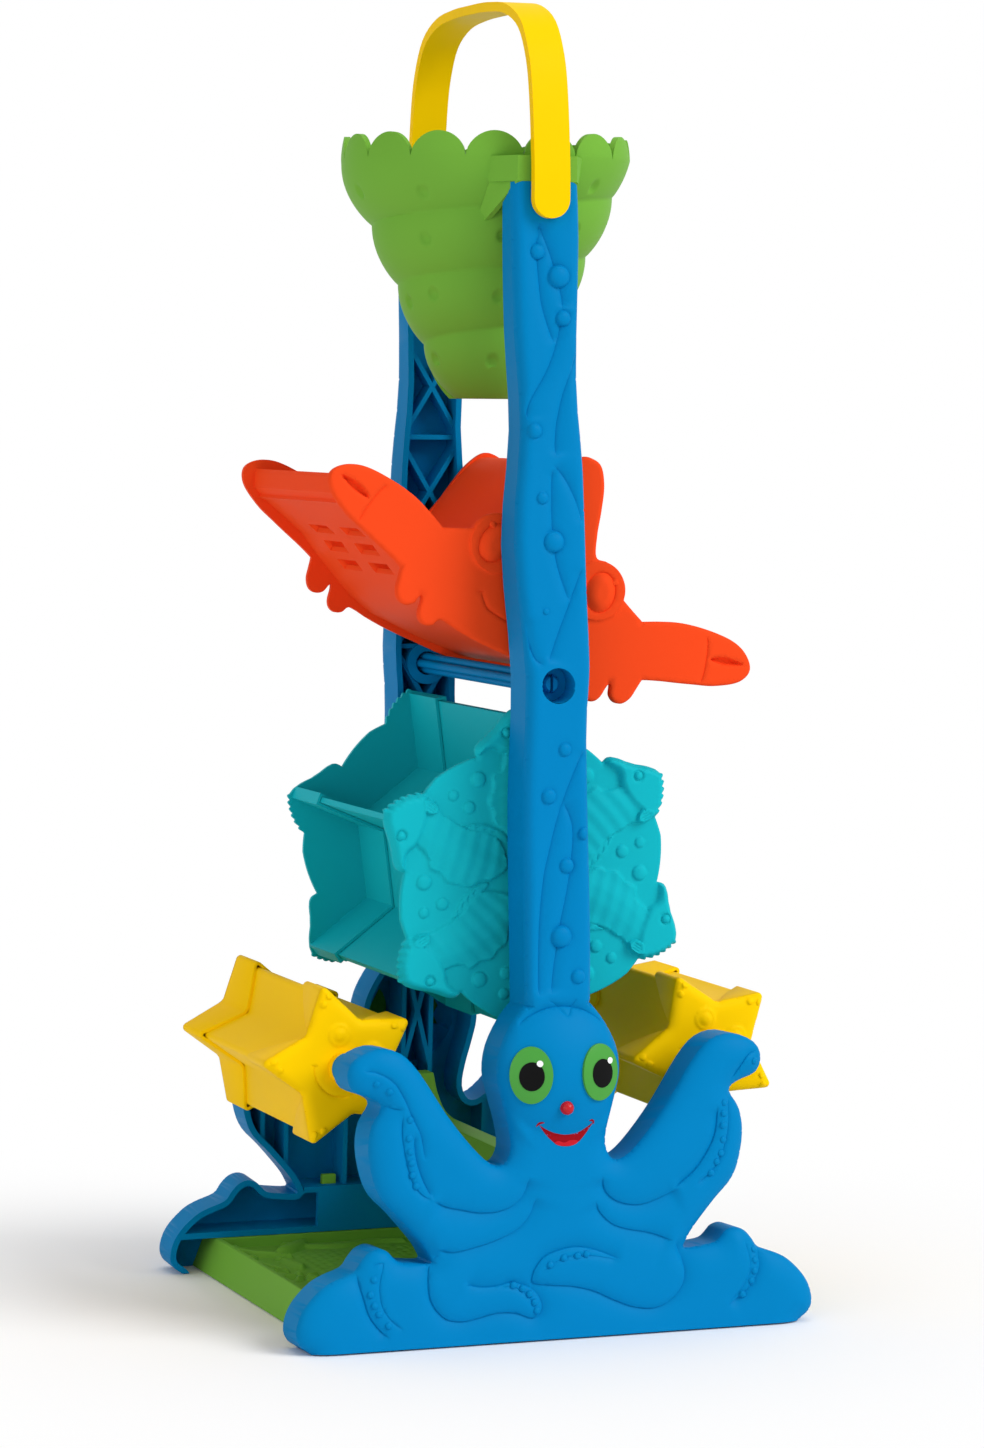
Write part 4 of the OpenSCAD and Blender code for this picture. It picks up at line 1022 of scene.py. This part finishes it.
def without(node, gone):
    """A CAD node's points and faces in millimetres, less the faces whose middle passes a test."""
    mesh = cad_mesh(node)
    points = np.array([v.co[:] for v in mesh.vertices]) / MM
    faces = [tuple(f.vertices) for f in mesh.polygons]
    middle = np.array([points[list(f)].mean(0) for f in faces])
    keep = ~gone(middle)
    bpy.data.meshes.remove(mesh)
    return points, [f for f, k in zip(faces, keep) if k]


def joined(*parts):
    """Several sets of points and faces as one."""
    points, faces, start = [], [], 0
    for p, f in parts:
        points.append(np.asarray(p, float))
        faces += [tuple(int(i) + start for i in face) for face in f]
        start += len(p)
    return np.concatenate(points), faces


plated = [node for node in nodes if "plate" in node or "wheel" in node or "star" in node]
print("nodes that get plates:", len(plated))

# %% [markdown]
# The crab tips on its axle. Its two end plates have softly rounded edges, ring eyes, a smile, stub legs, and
# claws with a cut line and a sunken slit. The outline is drawn level, about the axle, for the right half,
# and mirrored.

# %% The crab
CRAB_Z, CRAB_TILT, CRAB_Y = 301.0, math.radians(24), 60.0
CRAB_PLATE, HUB_R = 3.6, 7
half_crab = [
    (0, 64.5), (5, 63), (9.5, 56), (12.5, 46.5), (15, 36.5), (18.5, 28), (24, 28), (31, 25.2), (34.6, 21),
    (36.2, 17.4), (36.8, 16.8), (42, 14.5), (48.2, 12), (49, 11.9), (57, 15.4), (66, 18.6), (78, 20.6),
    (90, 20.8), (98, 18), (102.4, 12.5), (99.5, 6), (90, 0.2), (81, -3), (74, -5.3), (66, -7.8),
    (59.2, -10.3), (58.5, -11.2), (57.8, -15), (56.9, -19.5), (54.4, -23), (51, -23.8), (48, -22),
    (46.8, -18.8), (46, -17.3), (45, -19.5), (44.2, -24.2), (42.4, -27), (39.5, -28), (36.4, -26.6),
    (34.6, -23.6), (31, -23.3), (24, -24.3), (14, -25), (0, -25)]
claw_line = np.array([(78.5, 18), (80.8, 13), (82, 8.7), (83.2, 3.9), (83.6, -0.8)])
slit = np.array([(83.4, 9.6), (87, 12.4), (92.5, 13.8), (98.5, 13.6), (94.5, 11.4), (89, 9.6)])
smile = np.array([(1, -12.4), (7.8, -12.2), (15.5, -11.4), (19.1, -9.6), (22.6, -5.8)])
smile_end = np.array([(21.6, -5), (22.8, -5.6), (24.2, -6.8)])
crab_loop = np.array(half_crab + [(-x, z) for x, z in half_crab[-2:0:-1]])
crab = Relief(smooth_line(crab_loop, 1.0, True)[:-1], grid=1.2, soft=2.0, fall=1.1)
for side in (-1, 1):
    crab.raised(oval(side * 24.3, 15.3, 12.6, 12.6), 0.9, 0.5, over=True)
    crab_eye = oval(side * 25.6, 15.2, 6.8, 8.6, side * 13)
    crab.raised(crab_eye, 3.0, 5.0, over=True)
    crab.crease(closed(crab_eye), "left", 0.7, 1.0, ends=(0, 0))
    crab.bubble(side * 30, 21.6, 1.4, 0.6)
    claw_low, smile_low = ("right", "left") if side > 0 else ("left", "right")
    crab.crease(claw_line * [side, 1], claw_low, 0.9, 1.6, ends=(1, 1))
    crab.raised(slit * [side, 1], -2.9, 1.2)
    crab.crease(smile * [side, 1], smile_low, 0.7, 1.2, ends=(0.5, 1))
    crab.crease(smile_end * [side, 1], smile_low, 0.6, 1.0, ends=(0.5, 0.5))


def crab_place(p, turn):
    """From the level drawing to the tilted crab: the front plate, or the rear one turned round."""
    x, y, z = turn * p[:, 0], -turn * (CRAB_Y + p[:, 2]), p[:, 1]
    c, s = math.cos(CRAB_TILT), math.sin(CRAB_TILT)
    return np.stack([x * c + z * s, y, CRAB_Z - x * s + z * c], 1)


def not_hub(m):
    return (np.abs(m[:, 1]) < CRAB_Y + 0.02) | (np.hypot(m[:, 0], m[:, 2] - CRAB_Z) > HUB_R)


crab_points, crab_faces = plate(crab, CRAB_PLATE)
for node, turn in (("crab_front_plate", 1), ("crab_rear_plate", -1)):
    points, faces = joined((crab_place(crab_points, turn), crab_faces), without(node, not_hub))
    stand_in(make_object(node + "_moulding", points, faces, "orange", sharp=45), "orange", node)
print("crab plate points:", len(crab_points))

# %% [markdown]
# The paddle wheel's discs show six seahorses. Each head stands out beyond the rim, with a notched crest and
# a snout; the bodies lie over one another towards the hub, with bubbles between. One seahorse is drawn in
# polar form, as radius and angle, and repeated six times.

# %% The drawing of a seahorse
PADDLE, DISC_R = 157.5, 60.0
TOOTH, TOOTH_RISE, DIP, DIP_END = 13 / 6, 1.3, 3.8, 38
PLATE_RISE, PLATE_STEP, SIDE_FALL = 0.5, 6.2, 0.8
crest = [
    (-14.3, 60), (-13.4, 61), (-12, 62.4), (-10.2, 64.6), (-7.5, 67), (-4.1, 69.4), (-1, 71), (1.1, 70.3),
    (4, 68.2), (7.6, 65), (11.2, 63), (14.6, 61.8), (17, 60.6), (18.2, 59.4), (18.75, 57.8), (18.9, 56.3)]


def polar(pairs, turn=0):
    turned = [(r, math.radians(a + turn)) for r, a in pairs]
    return np.array([(r * math.cos(a), r * math.sin(a)) for r, a in turned])


def small_ring(x, z, r):
    return [(x + r * math.cos(t), z + r * math.sin(t)) for t in np.radians(np.arange(0, 360, 10))]


def disc_radius(a):
    """The rim of a disc: it dips behind each snout, and the heads stand out with notched crests."""
    a = (a - PADDLE + 15) % 60 - 15
    r = np.interp(a, *zip(*crest), left=0, right=0)
    teeth = TOOTH_RISE * np.abs(np.sin(np.pi * (a + 14) / TOOTH)) * ease(a + 14.2) * ease(-0.6 - a)
    dip = DISC_R - DIP * np.clip((DIP_END - a) / (DIP_END - 18), 0, 1) * (a > 15)
    return np.maximum(r + teeth, dip)


def bony(turn):
    """The plates of a seahorse's body: ridges across it, and a flat back between two sloping sides."""
    def pattern(p):
        r = np.hypot(p[:, 0], p[:, 1])
        a = (np.degrees(np.arctan2(p[:, 1], p[:, 0])) - turn + 180) % 360 - 180
        low_a, high_a = -10 + (46 - r) * 0.1, 11 + (46 - r) * 0.75
        side = np.abs(2 * a - low_a - high_a) / (high_a - low_a)
        ridge = np.abs((r - 0.02 * (a - 6) ** 2 / 4 - 49) / PLATE_STEP % 1 * 2 - 1)
        return PLATE_RISE * (ridge - 0.5) - SIDE_FALL * np.clip((side - 0.35) / 0.65, 0, 1)
    return pattern


horse_body = [
    (56, -4), (55.5, -11), (53, -13), (48, -11.5), (45.5, -12.1), (41, -11.9), (37.3, -13), (34.3, -14.2),
    (30, -19), (24, -24), (19, -22), (13, -8), (12.6, 7.5), (17.9, 24), (22.6, 25.5), (29, 29.5),
    (33.3, 26), (38, 24.5), (41.2, 19), (46.3, 16), (47.3, 11), (50.6, 8), (54.5, 5)]
back_fin = [
    (39.5, -12.5), (37.6, -15.2), (34, -20.5), (28.8, -27), (22.5, -33.5), (19.5, -31), (24, -22), (31, -15)]
horse_head = [(disc_radius(PADDLE + a) - 0.3, a) for a in np.arange(-13.6, 18.3, 0.45)]
horse_head += [
    (57, 18.3), (57.1, 15.5), (57.2, 12.6), (56.4, 10.2), (54.4, 8), (53.1, 4.5), (52.6, -1), (53.4, -6),
    (56, -11), (58.4, -13.3)]
neck_fin = [
    (60, -11.6), (57.5, -13.4), (53.5, -13.6), (51.2, -11.5), (52.8, -8.6), (56.2, -7.8), (58.2, -9)]
print("points of a head:", len(horse_head))

# %% [markdown]
# Each half of the wheel keeps its paddles and hub from CAD and gets a new disc. The rear disc is the front
# one mirrored about the line of a paddle, so that the paddles of both halves meet.

# %% The discs of the paddle wheel
WHEEL_Z, WHEEL_Y, DISC_T = 186.4, 61.8, 2.6
rim_turns = np.arange(0, 360, 0.4)
rim_line = np.stack([
    disc_radius(rim_turns) * np.cos(np.radians(rim_turns)),
    disc_radius(rim_turns) * np.sin(np.radians(rim_turns))], 1)
disc = Relief(rim_line, grid=1.1, soft=1.2, fall=0.8)
for k in range(6):
    turn = PADDLE + 60 * k
    disc.raised(polar(back_fin, turn), 0.9, 0.8)
    disc.raised(polar(horse_body, turn), 2.0, 1.3, pattern=bony(turn))
    disc.raised(polar(horse_head, turn), 3.0, 2.8, gap=0.6, over=True)
    disc.raised(polar(neck_fin, turn), 3.3, 0.7, gap=0.8)
    for a in (-12.2, -11, -9.8):
        ray = [(58.2 - abs(a + 11) * 0.7, a + 0.3), (55.6, a), (53, a + 0.2)]
        disc.crease(polar(ray, turn), "left", 0.4, 0.6, ends=(1, 0.6), gap=0.8)
    for share in (0.2, 0.4, 0.6, 0.8):
        r, a = 38.6 - 16 * share, -14 - 18.5 * share
        disc.crease(polar([(r, a), (r + 1.6, a + 5.5)], turn), "left", 0.35, 0.6, ends=(0.6, 0.6), gap=0.8)
    for r, a, size in ((48, 23.2, 3.3), (41.2, 36.3, 2.7), (49.8, 38, 2.3)):
        (x, z), = polar([(r, a)], turn)
        disc.bubble(x, z, size, 0.4 * size)
    (x, z), = polar([(62, 4.6)], turn)
    disc.raised(small_ring(x, z, 2.6), -0.6, 0.4, gap=0.6)
    disc.bubble(x, z, 1.8, 1.3)


def old_disc(m):
    return (np.abs(m[:, 1]) > WHEEL_Y - DISC_T - 0.05) & (np.abs(m[:, 1]) < WHEEL_Y + 0.05)


disc_points, disc_faces = plate(disc, DISC_T)
twice = math.radians(2 * PADDLE)
for node, out in (("sea_wheel_front", -1), ("sea_wheel_rear", 1)):
    x, z, proud = disc_points.T
    if out > 0:
        x, z = x * math.cos(twice) + z * math.sin(twice), x * math.sin(twice) - z * math.cos(twice)
    placed = np.stack([x, out * (WHEEL_Y + proud), z + WHEEL_Z], 1)
    points, faces = joined((placed, disc_faces), without(node, old_disc))
    stand_in(make_object(node + "_moulding", points, faces, "teal", sharp=45), "teal", node)
print("disc points:", len(disc_points))

# %% [markdown]
# Each star wheel is two mouldings: a front half with a star-shaped cap, whose points reach back like hoods,
# and a rear half whose sleeve overlaps the walls with a curved edge. The caps are puffy and carry a small
# face. The length of the hoods and of the sleeve follows how near each place is to a tip.

# %% The outline and the face of a star
STAR_R, NOTCH_R, TIP_R = 35.4, 20.5, 2.0


def star_loop(gap=1.0):
    """The star's outline with rounded points, and how near each place is to a tip (1) or a notch (0)."""
    tip = np.array([STAR_R, 0])
    notch = NOTCH_R * np.array([math.cos(math.radians(36)), math.sin(math.radians(36))])
    way = (notch - tip) / np.hypot(*(notch - tip))
    half = math.atan2(way[1], -way[0])
    centre = STAR_R - TIP_R / math.sin(half)
    arc = [(centre + TIP_R * math.cos(a), TIP_R * math.sin(a)) for a in np.linspace(0, math.pi / 2 - half, 5)]
    flank = resample(np.array([arc[-1], notch]), gap)
    upper = np.concatenate([arc[:-1], flank])
    near = np.concatenate([np.ones(4), np.linspace(1, 0, len(flank))])
    one = np.concatenate([(upper * [1, -1])[::-1][1:], upper[1:]])
    tips = np.concatenate([near[::-1][1:], near[1:]])
    loop = []
    for a in np.radians(np.arange(0, 360, 72)):
        turned = one @ np.array([[math.cos(a), math.sin(a)], [-math.sin(a), math.cos(a)]])
        loop.append(turned[:-1])
    return np.concatenate(loop), np.concatenate([tips[:-1]] * 5)


def star_face(relief, turn):
    """Two ring eyes and a smile, turned to match the tilt of the star, and two bubbles on each point."""
    for k in range(5):
        for r, a in ((27.5, 4.5), (30.2, -2.5)):
            (x, z), = polar([(r, 72 * k + a)])
            relief.bubble(x, z, 1.5, 0.7)
    for a in (98 - turn, 22 - turn):
        (x, z), = polar([(13.4, a)])
        relief.raised(small_ring(x, z, 4.9), 0.6, 0.9)
        relief.raised(small_ring(x, z, 3.3), 1.6, 2.6)
    relief.crease(polar([(12.6, a - turn) for a in range(176, 292, 12)]), "left", 0.7, 1.3, ends=(1, 1))
    for a, lean in ((174, 2), (290, -2)):
        end = polar([(10.8, a - turn), (12.6, a - turn + lean), (14.2, a - turn)])
        relief.crease(end, "left", 0.6, 1.0, ends=(0.5, 0.5))


star, tipness = star_loop()
print("star outline:", len(star), "points")

# %% [markdown]
# A half of a star wheel is its cap, a sleeve behind the cap, and what CAD has besides the old cap. The two
# stars stand at different angles, so each has its own face, and the rear cap is the front one turned round.

# %% The star wheels
STAR_X, STAR_Z, STAR_Y, STAR_LIP = 81.7, 110.3, 59.4, 1.4
STAR_PLATE, SLEEVE_START = 3.4, 2.8
HOOD_MIN, HOOD_REACH, HOOD_FROM = 0.6, 21.5, 0.12
SKIRT, SKIRT_RISE = 33, 8
hood = HOOD_MIN + HOOD_REACH * np.clip((tipness - HOOD_FROM) / (1 - HOOD_FROM), 0, 1) ** 0.75
skirt = SKIRT - SKIRT_RISE * tipness ** 1.3


def sleeve(loop, start, length, thick):
    """A wall that runs back from a cap along its outline, as long at each point as told, with a round end."""
    end = start + length
    rings = [(0.0, start), (0.0, end - 0.6), (-0.2, end - 0.2), (-0.6, end), (-thick, end), (-thick, start)]
    n = len(loop)
    outward = -inward(loop)
    points = [np.column_stack([loop + outward * push, -np.broadcast_to(at, n)]) for push, at in rings]
    faces = []
    for k in range(len(rings) - 1):
        for i in range(n):
            j = (i + 1) % n
            faces.append((k * n + i, (k + 1) * n + i, (k + 1) * n + j, k * n + j))
    return np.concatenate(points), faces


def old_cap_front(m):
    return (m[:, 1] < -STAR_Y + 2.3) & (m[:, 1] > -STAR_Y - 0.05)


def old_cap_rear(m):
    return m[:, 1] < STAR_Y + 0.05


for name, x0, turn in (("left_star", -STAR_X, 32), ("right_star", STAR_X, 42)):
    cap = Relief(star, grid=1.1, soft=4.5, fall=2.8)
    star_face(cap, turn)
    a = math.radians(turn)
    for half, out, length, old in (("front", -1, hood, old_cap_front), ("rear", 1, skirt, old_cap_rear)):
        p, star_faces = joined(plate(cap, STAR_PLATE), sleeve(star, SLEEVE_START, length, STAR_LIP))
        x, z = p[:, 0], -out * p[:, 1]
        x, z = x * math.cos(a) - z * math.sin(a), x * math.sin(a) + z * math.cos(a)
        placed = np.stack([x + x0, out * (STAR_Y + p[:, 2]), z + STAR_Z], 1)
        node = f"{name}_{half}"
        points, faces = joined((placed, star_faces), without(node, old))
        stand_in(make_object(node + "_moulding", points, faces, "yellow", sharp=45), "yellow", node)
print("hoods up to", round(hood.max(), 1), "mm, sleeves up to", round(skirt.max(), 1), "mm")

# %% [markdown]
# The rest of the mouldings keep their CAD shape, with softened edges: a bevel on a copy whose split points
# are joined. Weighted normals keep the broad faces beside a narrow bevel looking flat.

# %% Softened copies
def softened(node, look, bevel=0.5, segments=2, sharp=35):
    """A copy of a CAD node with bevelled edges, in the node's place."""
    mesh = cad_mesh(node)
    shape = bmesh.new()
    shape.from_mesh(mesh)
    bmesh.ops.dissolve_limit(shape, angle_limit=math.radians(1), verts=shape.verts, edges=shape.edges)
    corner_turn = math.radians(sharp)
    corners = [e for e in shape.edges if len(e.link_faces) == 2 and e.calc_face_angle(0) > corner_turn]
    if bevel:
        bmesh.ops.bevel(shape, geom=corners, offset=bevel * MM, segments=segments, profile=0.5,
                        affect="EDGES", clamp_overlap=True)
    shape.to_mesh(mesh)
    shape.free()
    piece = stand_in(finish_mesh(node + "_soft", mesh, look, sharp), look, node)
    even = piece.modifiers.new("even normals", "WEIGHTED_NORMAL")
    even.keep_sharp = True
    return piece


softened("base_tray", "green", 0.6)
softened("crossbar", "blue", 0.25)
softened("handle", "yellow", 1.0)
trough = softened("crab_trough", "orange", 0.5)
for place in ("front", "rear"):
    softened(place + "_eyes", "eye_green", 0.6)
for place in ("front", "rear"):
    softened(place + "_nose", "red", 0)
# The trough's clip tabs end inside the crab's new plates, which have no slots for them
CLIP_END = 58.0 * MM
for v in trough.data.vertices:
    v.co.y = min(max(v.co.y, -CLIP_END), CLIP_END)
print("trough faces:", len(trough.data.polygons))

# %% [markdown]
# The tower stands on a plain pale floor. Near the tower the floor takes its shadow; further out it glows
# white, as far as the camera sees it, so that no horizon shows. The world does the same: white to look at,
# and dimmer as a light on the tower.

# %% Floor and background
AMBIENT = 0.44
FADE_START, FADE_END = 0.12, 0.42


def sees_white(tree):
    """1 for what the camera sees, also by reflection or through glass, and 0 for light on the tower."""
    path = tree.nodes.new("ShaderNodeLightPath")
    seen = path.outputs["Is Camera Ray"]
    for kind in ("Is Glossy Ray", "Is Transmission Ray"):
        most = tree.nodes.new("ShaderNodeMath")
        most.operation = "MAXIMUM"
        tree.links.new(seen, most.inputs[0])
        tree.links.new(path.outputs[kind], most.inputs[1])
        seen = most.outputs[0]
    return seen


def floor_material():
    """Pale near the tower, and plain white further out, as far as the camera sees."""
    material = bpy.data.materials.new("pale floor")
    material.use_nodes = True
    tree = material.node_tree
    shader = tree.nodes["Principled BSDF"]
    shader.inputs["Base Color"].default_value = (0.95, 0.95, 0.95, 1)
    shader.inputs["Roughness"].default_value = 0.9
    shader.inputs["Specular IOR Level"].default_value = 0.1
    where = add_node(tree, "ShaderNodeTexCoord")
    away = add_node(tree, "ShaderNodeVectorMath")
    away.operation = "LENGTH"
    grow = add_node(tree, "ShaderNodeMapRange", From_Min=FADE_START, From_Max=FADE_END)
    grow.interpolation_type = "SMOOTHSTEP"
    both = add_node(tree, "ShaderNodeMath")
    both.operation = "MULTIPLY"
    white = add_node(tree, "ShaderNodeEmission", Color=(1, 1, 1, 1), Strength=1.0)
    mix = add_node(tree, "ShaderNodeMixShader")
    tree.links.new(where.outputs["Object"], away.inputs[0])
    tree.links.new(away.outputs["Value"], grow.inputs["Value"])
    tree.links.new(grow.outputs["Result"], both.inputs[0])
    tree.links.new(sees_white(tree), both.inputs[1])
    tree.links.new(both.outputs[0], mix.inputs[0])
    tree.links.new(shader.outputs[0], mix.inputs[1])
    tree.links.new(white.outputs[0], mix.inputs[2])
    tree.links.new(mix.outputs[0], tree.nodes["Material Output"].inputs["Surface"])
    return material


bpy.ops.mesh.primitive_plane_add(size=8, location=(0, 0, -0.0003))
floor = bpy.context.object
floor.name = "floor"
floor.data.materials.append(floor_material())
world = bpy.data.worlds.new("studio")
bpy.context.scene.world = world
world.use_nodes = True
sky = world.node_tree
sky.nodes["Background"].inputs["Color"].default_value = (1, 1, 1, 1)
strength = add_node(sky, "ShaderNodeMapRange", To_Min=AMBIENT, To_Max=1.0)
sky.links.new(sees_white(sky), strength.inputs["Value"])
sky.links.new(strength.outputs["Result"], sky.nodes["Background"].inputs["Strength"])
print("floor fades to white from", FADE_START, "to", FADE_END, "m")

# %% [markdown]
# A soft key shines from the upper right, a fill from the left and a third lamp from above. All are broad,
# so that the highlights are wide and the shadows soft.

# %% Lamps
def lamp(name, place, strength, softness):
    """A distant lamp that shines from a place towards the tower, as wide as an angle in degrees."""
    light = bpy.data.lights.new(name, "SUN")
    light.energy = strength
    light.angle = math.radians(softness)
    item = bpy.data.objects.new(name, light)
    item.rotation_euler = (-Vector(place)).to_track_quat("-Z", "Y").to_euler()
    bpy.context.collection.objects.link(item)


lamp("key", (1.2, -1.3, 1.3), 2.05, 35)
lamp("fill", (-1.5, -1.0, 0.2), 0.75, 60)
lamp("top", (0.1, 0.3, 1.9), 0.6, 50)
print("lamps:", len(bpy.data.lights))

# %% [markdown]
# The camera stands where the photograph was taken. Its place, its turn and its focal length were fitted to
# points of the tower in the photograph, so that both pictures can be laid over each other.

# %% Camera
FOCAL_PIXELS, PHOTO_PIXELS, SENSOR = 4456.26, 1448, 36
viewpoint = Vector((-0.6708, -1.7765, 0.3834))
yaw, pitch, roll = (math.radians(a) for a in (20.822, 4.1414, 0.49))
ahead = Vector((math.sin(yaw) * math.cos(pitch), math.cos(yaw) * math.cos(pitch), -math.sin(pitch)))
level = Vector((math.cos(yaw), -math.sin(yaw), 0))
upright = level.cross(ahead)
rightward = level * math.cos(roll) + upright * math.sin(roll)
upward = upright * math.cos(roll) - level * math.sin(roll)
camera = bpy.data.objects.new("camera", bpy.data.cameras.new("camera"))
camera.data.sensor_fit = "VERTICAL"
camera.data.sensor_height = SENSOR
camera.data.lens = SENSOR * FOCAL_PIXELS / PHOTO_PIXELS
camera_axes = (rightward, upward, -ahead, viewpoint)
camera.matrix_world = Matrix([[axis[k] for axis in camera_axes] for k in range(3)] + [[0, 0, 0, 1]])
bpy.context.collection.objects.link(camera)
bpy.context.scene.camera = camera
bpy.context.scene.view_settings.view_transform = "Standard"
print("focal length:", round(camera.data.lens, 1), "mm")
